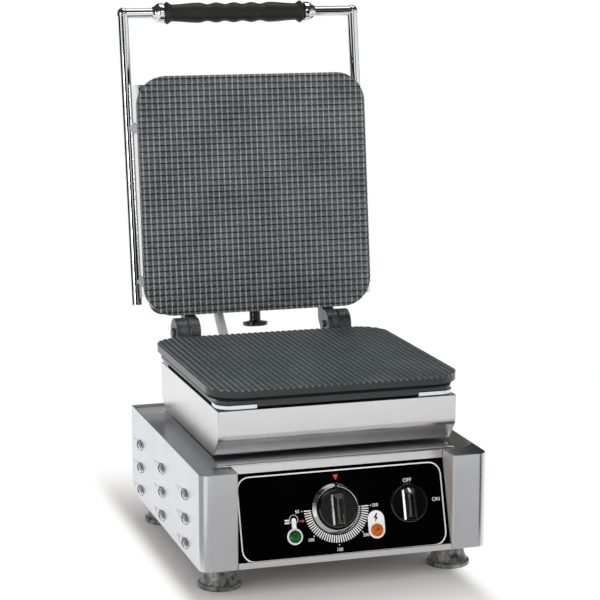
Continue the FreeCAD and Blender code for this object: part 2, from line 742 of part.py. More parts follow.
def grip_half_profile():
    """Half of the grip's outline, from its end to its middle, as (radius, distance from the end) pairs."""
    half = [(ROD_RADIUS, 0), (GRIP_END_RADIUS, 0), (GRIP_COLLAR_RADIUS, GRIP_COLLAR_PEAK)]
    half.append((GRIP_NECK_RADIUS, GRIP_COLLAR_WIDTH))
    crest = GRIP_LENGTH / 2 - GRIP_HALF_WAVES * GRIP_WAVE_PITCH
    half.append((GRIP_BODY_RADIUS, crest))
    for wave in range(GRIP_HALF_WAVES):
        half.append((GRIP_BODY_RADIUS - GRIP_WAVE_DEPTH, crest + (wave + 0.5) * GRIP_WAVE_PITCH))
        half.append((GRIP_BODY_RADIUS, crest + (wave + 1) * GRIP_WAVE_PITCH))
    return half


def grip():
    """Moulded grip with a pointed collar at each end and a few finger waves."""
    half = grip_half_profile()
    other_half = [(radius, GRIP_LENGTH - along) for radius, along in reversed(half[:-1])]
    return along_bar(turned(half + other_half), GRIP_CENTRE - GRIP_LENGTH / 2)


def ferrules():
    """Plated bells that close the grip's ends on the rod."""
    profile = [(ROD_RADIUS, 0), (FERRULE_NOSE_RADIUS, 0), (FERRULE_RADIUS, FERRULE_SHOULDER)]
    profile += [(FERRULE_RADIUS, FERRULE_LENGTH), (ROD_RADIUS, FERRULE_LENGTH)]
    left = along_bar(turned(profile), GRIP_CENTRE - GRIP_LENGTH / 2 - FERRULE_LENGTH)
    return left, left.mirror(Vector(GRIP_CENTRE, 0, 0), ALONG_X)


# Control panel

def control_panel():
    """Leaning face plate between the front flanges, bored for the shafts and lamps."""
    edge = PANEL_HALF_WIDTH
    level_thickness = PANEL_THICKNESS / math.cos(PANEL_LEAN)
    outline = [(PANEL_FOOT_DEPTH, FLOOR_TOP), (PANEL_HEAD_DEPTH, HOOD_LIP_BOTTOM)]
    outline += [(PANEL_HEAD_DEPTH + level_thickness, HOOD_LIP_BOTTOM)]
    outline += [(PANEL_FOOT_DEPTH + level_thickness, FLOOR_TOP)]
    plate = side_prism(-edge, edge, outline, [0] * 4)
    drill = 2 * PANEL_THICKNESS
    holes = []
    for at in (THERMOSTAT_AT, SWITCH_AT):
        holes.append(placed(Part.makeCylinder(SHAFT_HOLE, drill), panel_place(*at, -drill)))
    for at in (GREEN_LAMP_AT, ORANGE_LAMP_AT):
        holes.append(placed(Part.makeCylinder(LAMP_BARREL, drill), panel_place(*at, -drill)))
    return plate.cut(holes)


def control_body(at):
    """Switching unit behind the panel, bored for its shaft."""
    half = CONTROL_BODY / 2
    body = Part.makeBox(CONTROL_BODY, CONTROL_BODY, CONTROL_DEPTH, Vector(-half, -half, -CONTROL_DEPTH))
    well = Part.makeCylinder(SHAFT_RADIUS + PIN_CLEARANCE, SHAFT_DEPTH, Vector(0, 0, -SHAFT_DEPTH))
    return placed(body.cut(well), panel_place(*at, -PANEL_THICKNESS))


def control_shaft(at):
    bottom = SHAFT_END_GAP - PANEL_THICKNESS - SHAFT_DEPTH
    shaft = Part.makeCylinder(SHAFT_RADIUS, KNOB_DISC - bottom, Vector(0, 0, bottom))
    return placed(shaft, panel_place(*at))


def fin_wire(size, z):
    """Rectangle of the knob's grip fin, from its half width and its two ends."""
    half, near, far = size
    corners = [Vector(-half, near, z), Vector(half, near, z), Vector(half, far, z), Vector(-half, far, z)]
    return Part.makePolygon(corners + corners[:1])


def knob(at, has_nib):
    """Round knob with a tapered grip fin across its face, and on the dial a nib that reads over the bezel."""
    disc = turned([(0, KNOB_LIFT), (KNOB_RADIUS, KNOB_LIFT), (KNOB_RADIUS, KNOB_SKIRT),
                   (KNOB_CROWN_RADIUS, KNOB_DISC), (0, KNOB_DISC)])
    fin = Part.makeLoft([fin_wire(KNOB_FIN_FOOT, KNOB_SKIRT), fin_wire(KNOB_FIN_TOP, KNOB_HEIGHT)], True, True)
    pieces = [disc, fin]
    if has_nib:
        corner = Vector(-KNOB_NIB_HALF_WIDTH, 0, KNOB_NIB_BOTTOM)
        pieces.append(Part.makeBox(2 * KNOB_NIB_HALF_WIDTH, KNOB_NIB_REACH, KNOB_NIB_TOP - KNOB_NIB_BOTTOM, corner))
    bore = Part.makeCylinder(SHAFT_RADIUS, KNOB_DISC)
    return placed(joined(pieces).cut(bore), panel_place(*at))


def bezel():
    """Plated ring on the panel around the thermostat's knob."""
    ring = turned([(BEZEL_INNER, 0), (BEZEL_OUTER, 0), (BEZEL_OUTER, BEZEL_HEIGHT - BEZEL_CHAMFER),
                   (BEZEL_OUTER - BEZEL_CHAMFER, BEZEL_HEIGHT), (BEZEL_INNER + BEZEL_CHAMFER, BEZEL_HEIGHT),
                   (BEZEL_INNER, BEZEL_HEIGHT - BEZEL_CHAMFER)])
    return placed(ring, panel_place(*THERMOSTAT_AT))


def lamp(at):
    """Pilot lamp: barrel through the panel, flange and domed lens."""
    barrel = Part.makeCylinder(LAMP_BARREL, LAMP_DEPTH, Vector(0, 0, -LAMP_DEPTH))
    flange = Part.makeCylinder(LAMP_RADIUS, LAMP_FLANGE)
    ball_radius = (LAMP_RADIUS ** 2 + LAMP_DOME ** 2) / (2 * LAMP_DOME)
    ball = Part.makeSphere(ball_radius, Vector(0, 0, LAMP_FLANGE + LAMP_DOME - ball_radius))
    above = Part.makeCylinder(2 * LAMP_RADIUS, LAMP_RADIUS, Vector(0, 0, LAMP_FLANGE))
    return placed(joined([barrel, flange, ball.common(above)]), panel_place(*at))


def terminal_block():
    """Row of terminals on the floor, parted by slots."""
    top = FLOOR_TOP + TERMINAL_HEIGHT
    far = TERMINAL_DEPTH + TERMINAL_WIDTH
    body = block(TERMINAL_LEFT, TERMINAL_LEFT + TERMINAL_LENGTH, TERMINAL_DEPTH, far, FLOOR_TOP, top)
    slots = []
    for way in range(1, TERMINAL_WAYS):
        left = TERMINAL_LEFT + way * TERMINAL_LENGTH / TERMINAL_WAYS - TERMINAL_SLOT / 2
        slots.append(block(left, left + TERMINAL_SLOT, TERMINAL_DEPTH, far, top - TERMINAL_HEIGHT / 2, top))
    return body.cut(slots)


# Rear

def mains_gland():
    """Gland for the mains lead on the rear panel: hexagon, then a round clamping cap."""
    hexagon = hex_bar(GLAND_HEX_RADIUS, GLAND_HEX_LENGTH, GLAND_BORE)
    cap = turned([(GLAND_BORE, GLAND_HEX_LENGTH), (GLAND_CAP_RADIUS, GLAND_HEX_LENGTH),
                  (GLAND_CAP_RADIUS, GLAND_SHOULDER), (GLAND_NOSE_RADIUS, GLAND_LENGTH),
                  (GLAND_BORE, GLAND_LENGTH)])
    at = Vector(GLAND_X, from_front(BASE_DEPTH), GLAND_Z)
    return placed(joined([hexagon, cap]), Placement(at, Rotation(ALONG_Z, ALONG_Y)))


def conduit_nuts():
    """Nuts at the conduit's two ends: on the deck behind the hood and on the lid's rear wall."""
    nut = hex_bar(NUT_RADIUS, NUT_LENGTH)
    low = placed(nut, Placement(Vector(CONDUIT_X, from_front(CONDUIT_KNEE[0]), DECK_TOP), Rotation()))
    wall = lid_point(CONDUIT_X, LID_WALL_REACH, CONDUIT_OFFSET)
    return low, opened(placed(nut, Placement(wall, Rotation(ALONG_Z, ALONG_Y))))


def heater_conduit():
    """Steel conduit that carries the upper heater's wires from the base to the open lid."""
    points = []
    for reach in (LID_WALL_REACH - NUT_LENGTH, CONDUIT_TURN_REACH):
        points.append(opened(Part.Vertex(lid_point(CONDUIT_X, reach, CONDUIT_OFFSET))).Point)
    knee_depth, knee_z = CONDUIT_KNEE
    points.append(Vector(CONDUIT_X, from_front(knee_depth), knee_z))
    points.append(Vector(CONDUIT_X, from_front(knee_depth), DECK_TOP + NUT_LENGTH))
    return pipe(bent_path(points, [CONDUIT_TURN_RADIUS, CONDUIT_KNEE_RADIUS]), CONDUIT_RADIUS)


def rest_foot():
    """Plated stud with a round foot on the lid's rear wall, its foot at the hinge's reach."""
    length = LID_WALL_REACH
    disc = length - REST_DISC
    stud = turned([(0, 0), (REST_STEM_RADIUS, 0), (REST_STEM_RADIUS, disc), (REST_DISC_RADIUS, disc + REST_LIP),
                   (REST_DISC_RADIUS, length - REST_LIP), (REST_DISC_RADIUS - REST_LIP, length), (0, length)])
    wall = lid_point(REST_X, LID_WALL_REACH, REST_OFFSET)
    return placed(stud, Placement(wall, Rotation(ALONG_Z, ALONG_Y)))


def rear_screws():
    """Pan heads around the rear panel."""
    heads = []
    for z in REAR_SCREW_HEIGHTS:
        at = Vector(-REAR_SCREW_X, from_front(BASE_DEPTH), z)
        heads += left_and_right(Part.makeCylinder(REAR_SCREW_RADIUS, REAR_SCREW_HEAD, at, ALONG_Y))
    return Part.makeCompound(heads)


def export_pair(name, shape):
    left, right = left_and_right(shape)
    export(name + "_left", left)
    export(name + "_right", right)


def build_base():
    sides = left_and_right(side_panel())
    export("side_panel_left", sides[0])
    export("side_panel_right", sides[1])
    export("rear_panel", rear_panel())
    export("base_floor", base_floor(sides))
    export("hood", hood())
    for end, depth in (("front", FOOT_INSET), ("rear", BASE_DEPTH - FOOT_INSET)):
        place = Placement(Vector(-FOOT_X, from_front(depth), 0), Rotation())
        export_pair("foot_" + end, placed(foot(), place))
    export("casing_spacers", casing_spacers())
    export("terminal_block", terminal_block())
    export("mains_gland", mains_gland())
    export("rear_screws", rear_screws())


def build_irons():
    irons = {"casing": casing(), "slab": heater_slab(), "plate": grid_plate(), "corner_clips": corner_clips()}
    irons["heating_element"] = heating_element()
    irons["insulation"] = insulation()
    for name, shape in irons.items():
        export("lower_" + name, shape)
        export("upper_" + name, opened(upper(shape)))
    export("sensor_bulb", sensor_bulb())
    export("sensor_clamp", sensor_clamp())
    export_pair("lower_lug", lower_lug())
    export_pair("lid_lug", lid_lug())
    export_pair("hinge_pin", hinge_pin())


def build_handle():
    rod = handle_rod()
    export("handle_rod", opened(rod))
    export("handle_saddles", opened(handle_saddles(rod)))
    export("handle_bolts", opened(handle_bolts()))
    export("grip", opened(grip()))
    left, right = ferrules()
    export("ferrule_left", opened(left))
    export("ferrule_right", opened(right))


def build_controls():
    export("control_panel", control_panel())
    export("thermostat_bezel", bezel())
    for name, at in (("thermostat", THERMOSTAT_AT), ("switch", SWITCH_AT)):
        export(name + "_body", control_body(at))
        export(name + "_shaft", control_shaft(at))
        export(name + "_knob", knob(at, at == THERMOSTAT_AT))
    export("green_lamp", lamp(GREEN_LAMP_AT))
    export("orange_lamp", lamp(ORANGE_LAMP_AT))


def build_lid_rear():
    low_nut, high_nut = conduit_nuts()
    export("conduit_nut_lower", low_nut)
    export("conduit_nut_upper", high_nut)
    export("heater_conduit", heater_conduit())
    export("lid_rest_foot", opened(rest_foot()))


def main():
    os.makedirs("parts", exist_ok=True)
    build_base()
    build_irons()
    build_handle()
    build_controls()
    build_lid_rear()


main()
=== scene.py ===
# %% [markdown]
# The object is a countertop waffle cone maker: a folded steel cabinet with a black control panel, two
# cast iron plates that meet like a book, and a chrome handle on the upper one, which stands open. Its
# construction comes in as a fixed frame, in metres, so every piece below is made where the frame says it
# is. A lesson like this could start from primitives placed by eye, but working from the frame keeps looks
# and motion together.

import json
import math

import bmesh
import bpy
from mathutils import Matrix, Vector

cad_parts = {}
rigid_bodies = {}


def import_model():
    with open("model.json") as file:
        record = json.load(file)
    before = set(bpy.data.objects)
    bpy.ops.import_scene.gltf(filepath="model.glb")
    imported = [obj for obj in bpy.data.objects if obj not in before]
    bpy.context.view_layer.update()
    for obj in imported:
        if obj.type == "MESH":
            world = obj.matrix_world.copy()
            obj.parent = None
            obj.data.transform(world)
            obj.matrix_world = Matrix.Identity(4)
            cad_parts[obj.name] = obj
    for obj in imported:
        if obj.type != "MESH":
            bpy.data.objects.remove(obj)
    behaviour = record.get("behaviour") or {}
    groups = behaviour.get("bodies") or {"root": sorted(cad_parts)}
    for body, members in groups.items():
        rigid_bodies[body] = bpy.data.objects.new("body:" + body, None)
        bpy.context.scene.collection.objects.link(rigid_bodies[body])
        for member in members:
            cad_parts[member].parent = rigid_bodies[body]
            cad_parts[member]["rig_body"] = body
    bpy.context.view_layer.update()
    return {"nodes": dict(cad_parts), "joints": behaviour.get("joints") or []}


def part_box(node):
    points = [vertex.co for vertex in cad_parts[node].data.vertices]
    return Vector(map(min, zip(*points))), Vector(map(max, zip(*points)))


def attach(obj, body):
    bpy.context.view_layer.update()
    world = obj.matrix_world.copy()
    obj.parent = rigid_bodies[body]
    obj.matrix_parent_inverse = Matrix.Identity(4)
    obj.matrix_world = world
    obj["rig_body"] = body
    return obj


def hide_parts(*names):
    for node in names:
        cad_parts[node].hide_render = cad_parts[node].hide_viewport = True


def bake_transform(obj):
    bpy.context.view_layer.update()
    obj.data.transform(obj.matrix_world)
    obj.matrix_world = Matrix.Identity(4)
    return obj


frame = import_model()
MM = 0.001
joints = {joint["name"]: joint for joint in frame["joints"]}

# %% [markdown]
# A few small helpers serve the whole lesson. Colours are written as sRGB hex, as a paint chart gives
# them, and the shaders want linear light, so one function turns one into the other. Node trees could each
# be wired by hand; one function that adds a node with its settings, values and links keeps every tree
# short to read.

# %% Colour, node and object helpers
MATH = "ShaderNodeMath"
VECTOR = "ShaderNodeVectorMath"
RANGE = "ShaderNodeMapRange"
MIX = "ShaderNodeMixRGB"
JOIN_XYZ = "ShaderNodeCombineXYZ"
SPLIT_XYZ = "ShaderNodeSeparateXYZ"


def linear(hex_colour):
    """Linear RGBA of an sRGB hex colour, by the curve that the sRGB standard gives."""
    channels = [int(hex_colour[i:i + 2], 16) / 255 for i in (1, 3, 5)]
    lit = [c / 12.92 if c <= 0.04045 else ((c + 0.055) / 1.055) ** 2.4 for c in channels]
    return lit + [1.0]


def add_node(tree, kind, values=None, links=None, **settings):
    """One new node: settings are its properties, values fill its inputs, links join inputs to outputs.

    A link that names a node comes from that node's first output.
    """
    node = tree.nodes.new(kind)
    for name, value in settings.items():
        setattr(node, name, value)
    for name, value in (values or {}).items():
        node.inputs[name].default_value = value
    for name, source in (links or {}).items():
        output = source.outputs[0] if isinstance(source, bpy.types.Node) else source
        tree.links.new(output, node.inputs[name])
    return node


def show(name, data):
    """New object in the scene that holds a mesh, a text, a lamp or a camera."""
    thing = bpy.data.objects.new(name, data)
    bpy.context.scene.collection.objects.link(thing)
    return thing


def turn(degrees, axis):
    """Matrix that turns about an axis through the origin."""
    return Matrix.Rotation(math.radians(degrees), 4, axis)


WHITE = linear("#ffffff")
print("helpers ready, mid grey is", [round(c, 3) for c in linear("#808080")[:3]])

# %% [markdown]
# The camera stands where the photograph was taken: a little to the left of the machine, above it, with a
# long lens. Its place was solved from the machine's own edges, so it is written as a position, three
# angles and a focal length.

# %% Camera
CAMERA_AT = Vector((-0.6139, -2.0087, 0.6527))
CAMERA_YAW = -17.35
CAMERA_PITCH = -10.78
CAMERA_ROLL = 0.06
CAMERA_LENS = 119.8
LEVEL = 90

lens = bpy.data.cameras.new("photo_camera")
lens.lens = CAMERA_LENS
camera = show("photo_camera", lens)
# An unturned camera looks straight down, so a right angle about X makes it level
aim = turn(CAMERA_YAW, "Z") @ turn(LEVEL + CAMERA_PITCH, "X") @ turn(CAMERA_ROLL, "Z")
camera.matrix_world = Matrix.Translation(CAMERA_AT) @ aim
bpy.context.scene.camera = camera
bpy.context.scene.view_settings.view_transform = "Standard"
print("camera at", [round(c, 3) for c in CAMERA_AT], "lens", CAMERA_LENS)

# %% [markdown]
# A product like this is shot on white paper. Near the machine the floor is diffuse paper painted light grey, a
# painted shadow that deepens the soft real shadow it keeps, and it fades to even white further out for
# whatever is seen directly or in metal and glass. More light would also give white paper, but it would bleach
# the machine too.

# %% Paper floor
FLOOR_HALF = 30.0
# Light grey of the paper in that patch: painted shadow over the real one
SHADOW_PATCH_PAPER = "#cfccca"
# Painted shadow patch under the machine, in metres, and how much faster it whitens to its sides than to its
# front
SHADOW_PATCH_MIDDLE = (-0.02, -0.05, 0.0)
SHADOW_PATCH_HALF = (0.13, 0.15, 0.0)
SHADOW_PATCH_FADE = (8.0, 1.0, 0.0)
SHADOW_FADE_NEAR = 0.0
SHADOW_FADE_FAR = 0.21


def rays_that_see(tree):
    """One where a ray comes from the camera or from a mirror or glass, else zero."""
    path = add_node(tree, "ShaderNodeLightPath").outputs
    direct = add_node(tree, MATH, links={0: path["Is Camera Ray"], 1: path["Is Glossy Ray"]}, operation="ADD")
    return add_node(tree, MATH, links={0: direct, 1: path["Is Transmission Ray"]}, operation="ADD",
                    use_clamp=True)


def paper_floor():
    """Paper sweep: light grey diffuse paper near the machine as a painted shadow over the real one, even white
    further out.
    """
    material = bpy.data.materials.new("paper_sweep_with_painted_shadow")
    material.use_nodes = True
    tree = material.node_tree
    tree.nodes.clear()
    where = add_node(tree, "ShaderNodeTexCoord").outputs["Object"]
    off = add_node(tree, VECTOR, {1: SHADOW_PATCH_MIDDLE}, {0: where}, operation="SUBTRACT")
    reach = add_node(tree, VECTOR, links={0: off}, operation="ABSOLUTE")
    past = add_node(tree, VECTOR, {1: SHADOW_PATCH_HALF}, {0: reach}, operation="SUBTRACT")
    clear = add_node(tree, VECTOR, {1: (0, 0, 0)}, {0: past}, operation="MAXIMUM")
    shaped = add_node(tree, VECTOR, {1: SHADOW_PATCH_FADE}, {0: clear}, operation="MULTIPLY")
    away = add_node(tree, VECTOR, links={0: shaped}, operation="LENGTH")
    fade = add_node(tree, RANGE, {"From Min": SHADOW_FADE_NEAR, "From Max": SHADOW_FADE_FAR},
                    {"Value": away.outputs["Value"]}, interpolation_type="SMOOTHSTEP")
    share = add_node(tree, MATH, links={0: fade, 1: rays_that_see(tree)}, operation="MULTIPLY")
    shaded_paper = add_node(tree, "ShaderNodeBsdfDiffuse", {"Color": linear(SHADOW_PATCH_PAPER)})
    white = add_node(tree, "ShaderNodeEmission", {"Color": WHITE, "Strength": 1.0})
    both = add_node(tree, "ShaderNodeMixShader", links={0: share, 1: shaded_paper, 2: white})
    add_node(tree, "ShaderNodeOutputMaterial", links={"Surface": both})
    return material


def stage_sheet(name, corners, material):
    """A flat sheet of the set, not part of the machine."""
    mesh = bpy.data.meshes.new(name)
    mesh.from_pydata(corners, [], [range(len(corners))])
    mesh.materials.append(material)
    sheet = show(name, mesh)
    return sheet


def lying(x_from, x_to, y_from, y_to, height):
    """Corners of a sheet that lies flat."""
    return [(x_from, y_from, height), (x_to, y_from, height), (x_to, y_to, height), (x_from, y_to, height)]


stage_sheet("floor", lying(-FLOOR_HALF, FLOOR_HALF, -FLOOR_HALF, FLOOR_HALF, 0), paper_floor())
print("floor:", 2 * FLOOR_HALF, "m of paper")

# %% [markdown]
# Above the horizon the studio is grey with lighter sides, because steel only reads as steel when it has
# something darker to reflect. A picture of a real studio would do the same; a gradient round the horizon
# needs no picture. The light that it sheds on the machine is even all the same.

# %% Studio
# Tones round the horizon, each with its place as a share of the full turn
STUDIO_TONES = ((0.0, "#eef0f4"), (0.12, "#d0d2d4"), (0.20, "#a09e9c"), (0.34, "#a09e9c"), (0.47, "#c8c8c8"),
                (0.58, "#8e9092"), (0.75, "#8e9092"), (0.80, "#f2f4f8"))
CEILING_TONE = "#3e3e3c"
HORIZON_FADE = 0.09
CEILING_STARTS = 0.05
CEILING_FULL = 0.45
AMBIENT = 0.92


def studio_world():
    """Even light for the object; a studio with lighter sides for what is seen in the metal."""
    world = bpy.data.worlds.new("grey_studio")
    bpy.context.scene.world = world
    world.use_nodes = True
    tree = world.node_tree
    tree.nodes.clear()
    direction = add_node(tree, "ShaderNodeTexCoord").outputs["Generated"]
    around = add_node(tree, "ShaderNodeTexGradient", links={"Vector": direction}, gradient_type="RADIAL")
    walls = add_node(tree, "ShaderNodeValToRGB", links={"Fac": around.outputs["Fac"]})
    tones = walls.color_ramp.elements
    while len(tones) < len(STUDIO_TONES):
        tones.new(1.0)
    for stop, (place, tone) in zip(tones, STUDIO_TONES):
        stop.position = place
        stop.color = linear(tone)
    height = add_node(tree, SPLIT_XYZ, links={0: direction}).outputs["Z"]
    rise = add_node(tree, RANGE, {"From Min": CEILING_STARTS, "From Max": CEILING_FULL}, {"Value": height},
                    interpolation_type="SMOOTHSTEP")
    room = add_node(tree, MIX, {"Color2": linear(CEILING_TONE)}, {"Fac": rise, "Color1": walls})
    bend = add_node(tree, RANGE, {"From Min": 0.0, "From Max": HORIZON_FADE}, {"Value": height},
                    interpolation_type="SMOOTHSTEP")
    sweep = add_node(tree, MIX, {"Color1": WHITE}, {"Fac": bend, "Color2": room})
    seen = add_node(tree, "ShaderNodeBackground", {"Strength": 1.0}, {"Color": sweep})
    lit = add_node(tree, "ShaderNodeBackground", {"Color": WHITE, "Strength": AMBIENT})
    both = add_node(tree, "ShaderNodeMixShader", links={0: rays_that_see(tree), 1: lit, 2: seen})
    add_node(tree, "ShaderNodeOutputWorld", links={"Surface": both})


studio_world()
print("studio:", len(STUDIO_TONES), "tones round the horizon")

# %% [markdown]
# A photographer sets cards round bright metal, so that it has light and dark things to mirror: they draw dark
# lines down rounded corners and give flat sheet its tone. These cards are seen only in reflections and cast no
# shadow. Two grey ones stand for the floor's shadow beside and in front of the machine: painted shade seen in
# the metal.

# %% Cards for the reflections
# Each card: its two ends on the floor plan and its lower and upper edge, in metres, and its tone
LOW_CARD = (0.0, 0.13)
HIGH_CARD = (0.14, 0.70)
NEAR_BLACK = "#161616"
# The first card, low and grey, stands for the floor's shadow beside the cabinet: painted shade seen in the
# front corner's reflection
CARDS = (("flag_left_low", (-0.25, -0.24), (-0.25, -0.08), LOW_CARD, "#b0b0b0"),
         ("flag_left_high", (-0.72, 0.10), (-0.50, 0.62), HIGH_CARD, NEAR_BLACK),
         ("flag_camera", (-0.79, -0.40), (-0.24, -0.78), (0.20, 0.70), "#2a2724"),
         ("flag_front_right", (0.22, -0.72), (0.42, -0.62), HIGH_CARD, NEAR_BLACK),
         ("flag_right_high", (0.62, 0.42), (0.50, 0.74), HIGH_CARD, NEAR_BLACK),
         ("flag_right_low", (0.23, -0.29), (0.26, -0.26), LOW_CARD, NEAR_BLACK),
         ("flag_right_edge", (0.25, -0.03), (0.20, 0.0), LOW_CARD, NEAR_BLACK))
# A grey card lying on the floor in front stands for the floor's shadow there: painted shade that the front
# faces mirror
FLOOR_SHADE_CARD = (-0.30, 0.70, -0.70, -0.23, 0.001)
FLOOR_SHADE_TONE = "#c2c0be"


def flag(name, corners, tone):
    """Card that only mirrors see."""
    card = bpy.data.materials.new(name + "_card")
    card.use_nodes = True
    shader = card.node_tree.nodes["Principled BSDF"]
    shader.inputs["Base Color"].default_value = linear("#000000")
    shader.inputs["Specular IOR Level"].default_value = 0.0
    shader.inputs["Emission Color"].default_value = linear(tone)
    shader.inputs["Emission Strength"].default_value = 1.0
    sheet = stage_sheet(name, corners, card)
    sheet.visible_camera = False
    sheet.visible_diffuse = False
    sheet.visible_shadow = False


for name, start, end, (low, high), tone in CARDS:
    flag(name, [(*start, low), (*end, low), (*end, high), (*start, high)], tone)
flag("grey_front", lying(*FLOOR_SHADE_CARD), FLOOR_SHADE_TONE)
print("cards:", len(CARDS) + 1)

# %% [markdown]
# Three soft boxes light the set: a large one overhead, a little to the right and behind, that drops the
# soft shadow in front of the machine and to its left; a narrow strip on the left that draws bright lines
# down rods and fins; and a weak one in front that fills the shadows and leaves no glint.

# %% Lamps
# Each lamp: its place, what it faces, its width and height, all in metres, its power in watts and its glint
LAMPS = (("overhead_box", (0.30, 0.35, 1.75), (0.0, -0.02, 0.15), (1.1, 0.8), 5.0, 0.6),
         ("left_strip", (-1.6, -0.95, 0.66), (0.0, 0.0, 0.25), (0.10, 1.0), 6.0, 1.0),
         ("front_box", (0.4, -2.2, 1.45), (0.0, 0.0, 0.25), (0.7, 0.7), 3.0, 0.0))

for name, at, target, (width, height), power, glint in LAMPS:
    lamp_data = bpy.data.lights.new(name, "AREA")
    lamp_data.shape = "RECTANGLE"
    lamp_data.size = width
    lamp_data.size_y = height
    lamp_data.energy = power
    lamp_data.specular_factor = glint
    lamp = show(name, lamp_data)
    lamp.location = at
    lamp.rotation_euler = (Vector(target) - Vector(at)).to_track_quat("-Z", "Y").to_euler()
print("lamps:", len(LAMPS))

# %% [markdown]
# Every finish on the machine is a base colour broken up by two patterns: a fine grain, which also gives
# the relief, and broad patches, which make some areas a little duller, as handling and heat do. One
# function builds that for all of them, from real sizes in millimetres; what differs is the numbers.

# %% Finishes from grain and patches
GRAIN_DETAIL = 3.0
PATCH_DETAIL = 2.0
# Noise keeps near the middle of its range, so these stretches of it are opened out to the full range
TONE_STRETCH = {"From Min": 0.36, "From Max": 0.64}
GLOSS_STRETCH = {"From Min": 0.3, "From Max": 0.7}
finishes = {}


def finish(slot, name, tones, grain, patches, roughness, relief=0.0, stretch=(1, 1, 1), sockets=None,
           patchy=0.5):
    """Material for a slot: two tones, grain and patch sizes in mm, a range of roughness, relief in mm."""
    material = bpy.data.materials.new(name)
    material.use_nodes = True
    tree = material.node_tree
    shader = tree.nodes["Principled BSDF"]
    for socket, value in (sockets or {}).items():
        shader.inputs[socket].default_value = value
    where = add_node(tree, "ShaderNodeTexCoord").outputs["Object"]
    drawn = add_node(tree, "ShaderNodeMapping", {"Scale": stretch}, {"Vector": where}).outputs["Vector"]
    fine = add_node(tree, "ShaderNodeTexNoise", {"Scale": 1 / (grain * MM), "Detail": GRAIN_DETAIL},
                    {"Vector": drawn}).outputs["Fac"]
    broad = add_node(tree, "ShaderNodeTexNoise", {"Scale": 1 / (patches * MM), "Detail": PATCH_DETAIL},
                     {"Vector": where}).outputs["Fac"]
    blended = add_node(tree, MIX, {"Fac": patchy}, {"Color1": fine, "Color2": broad}).outputs["Color"]
    share = add_node(tree, RANGE, TONE_STRETCH, {"Value": blended}).outputs["Result"]
    colour = add_node(tree, MIX, {"Color1": linear(tones[0]), "Color2": linear(tones[1])}, {"Fac": share})
    tree.links.new(colour.outputs["Color"], shader.inputs["Base Color"])
    gloss = add_node(tree, RANGE, {**GLOSS_STRETCH, "To Min": roughness[0], "To Max": roughness[1]},
                     {"Value": broad})
    tree.links.new(gloss.outputs["Result"], shader.inputs["Roughness"])
    if relief:
        bump = add_node(tree, "ShaderNodeBump", {"Strength": 1.0, "Distance": relief * MM}, {"Height": fine})
        tree.links.new(bump.outputs["Normal"], shader.inputs["Normal"])
    finishes.setdefault(slot, material)
    return material


METAL = {"Metallic": 1.0}
print("finish maker ready")

# %% [markdown]
# The cabinet, hood and casings are brushed stainless sheet. Brushing leaves fine parallel scratches, so
# highlights smear across them. The grain of about 0.3 mm is too fine for this picture and is drawn at 1.2 mm.
# Inside, the sheet is as the mill rolled it, dull, and the light that comes in by the vents is painted as a
# faint glow on the faces it would reach. Rays could be left to find their way in, but that takes far more of
# them than this painted glow.

# %% Sheet metal
ACROSS = (0.03, 1, 1)
ALONG = (1, 0.03, 1)
MILL_TONES = ("#bdb6b3", "#cfc9c6")
MILL_GRAIN = (1, 0.1, 1)
# Painted glow in place of light from the vents: full on the sills, weaker on the floor and rear wall
PAINTED_VENT_LIGHT = linear("#d4d6dc")
PAINTED_SILL_GLOW = 1.0
PAINTED_FLOOR_GLOW = 0.3


def mill_finish(name, glow):
    """Sheet as rolled, for the cabinet's inside; the glow is painted light that stands for the light that the
    vents let in.
    """
    return finish("brushed_stainless", name, MILL_TONES, 1.2, 40, (0.45, 0.6), stretch=MILL_GRAIN,
                  sockets={"Metallic": 0.35, "Emission Color": PAINTED_VENT_LIGHT, "Emission Strength": glow})


# A soft mirror with faint level streaks across the front
finish("brushed_stainless", "brushed_stainless_sheet", ("#e3e3e4", "#e9e9ea"), 1.2, 70, (0.25, 0.27),
       stretch=ACROSS, sockets=METAL)
# The sides are brushed front to back, and their tone is painted a little darker and cooler than the front's:
# painted shade
sides_brushed_painted_darker = finish("brushed_stainless", "brushed_stainless_sides_painted_darker", ("#d2d4d9", "#dddfe4"), 1.2, 70,
                       (0.22, 0.25), stretch=ALONG, sockets=METAL)
unlit_inside = mill_finish("mill_finish_inside", 0.0)
painted_glow_sill = mill_finish("mill_finish_painted_vent_glow", PAINTED_SILL_GLOW)
painted_half_glow = mill_finish("mill_finish_painted_half_glow", PAINTED_FLOOR_GLOW)
print("inside finishes:", unlit_inside.name, painted_glow_sill.name, painted_half_glow.name)

# %% [markdown]
# The handle's chrome is smooth and takes sharp reflections; zinc on the small fasteners is softer and
# bluish. Drawn tube and wire keep faint lines along their length. Their marks are finer than a tenth of a
# millimetre, and are drawn at 1.5 to 4 mm.

# %% Plated and drawn metals
# Chrome is almost a mirror: it shows the room, with hardly a tone of its own
finish("chrome", "bright_chrome_plate", ("#d6d8da", "#e6e7e8"), 4, 40, (0.03, 0.07), sockets=METAL)
# The saddles are given a pale, hardly metallic tone: a painted highlight for the bright glint on them, with
# soft roughness
saddle_painted_pale = finish("chrome", "chrome_saddle_painted_pale", ("#e4e5e6", "#f0f0f0"), 2, 20, (0.35, 0.45),
                      sockets={"Metallic": 0.2})
# Bright zinc gives broad, slightly blue highlights
finish("zinc_fasteners", "bright_zinc_plate", ("#dcdfe2", "#f0f1f2"), 1.5, 14, (0.14, 0.24), 0.01,
       sockets=METAL)
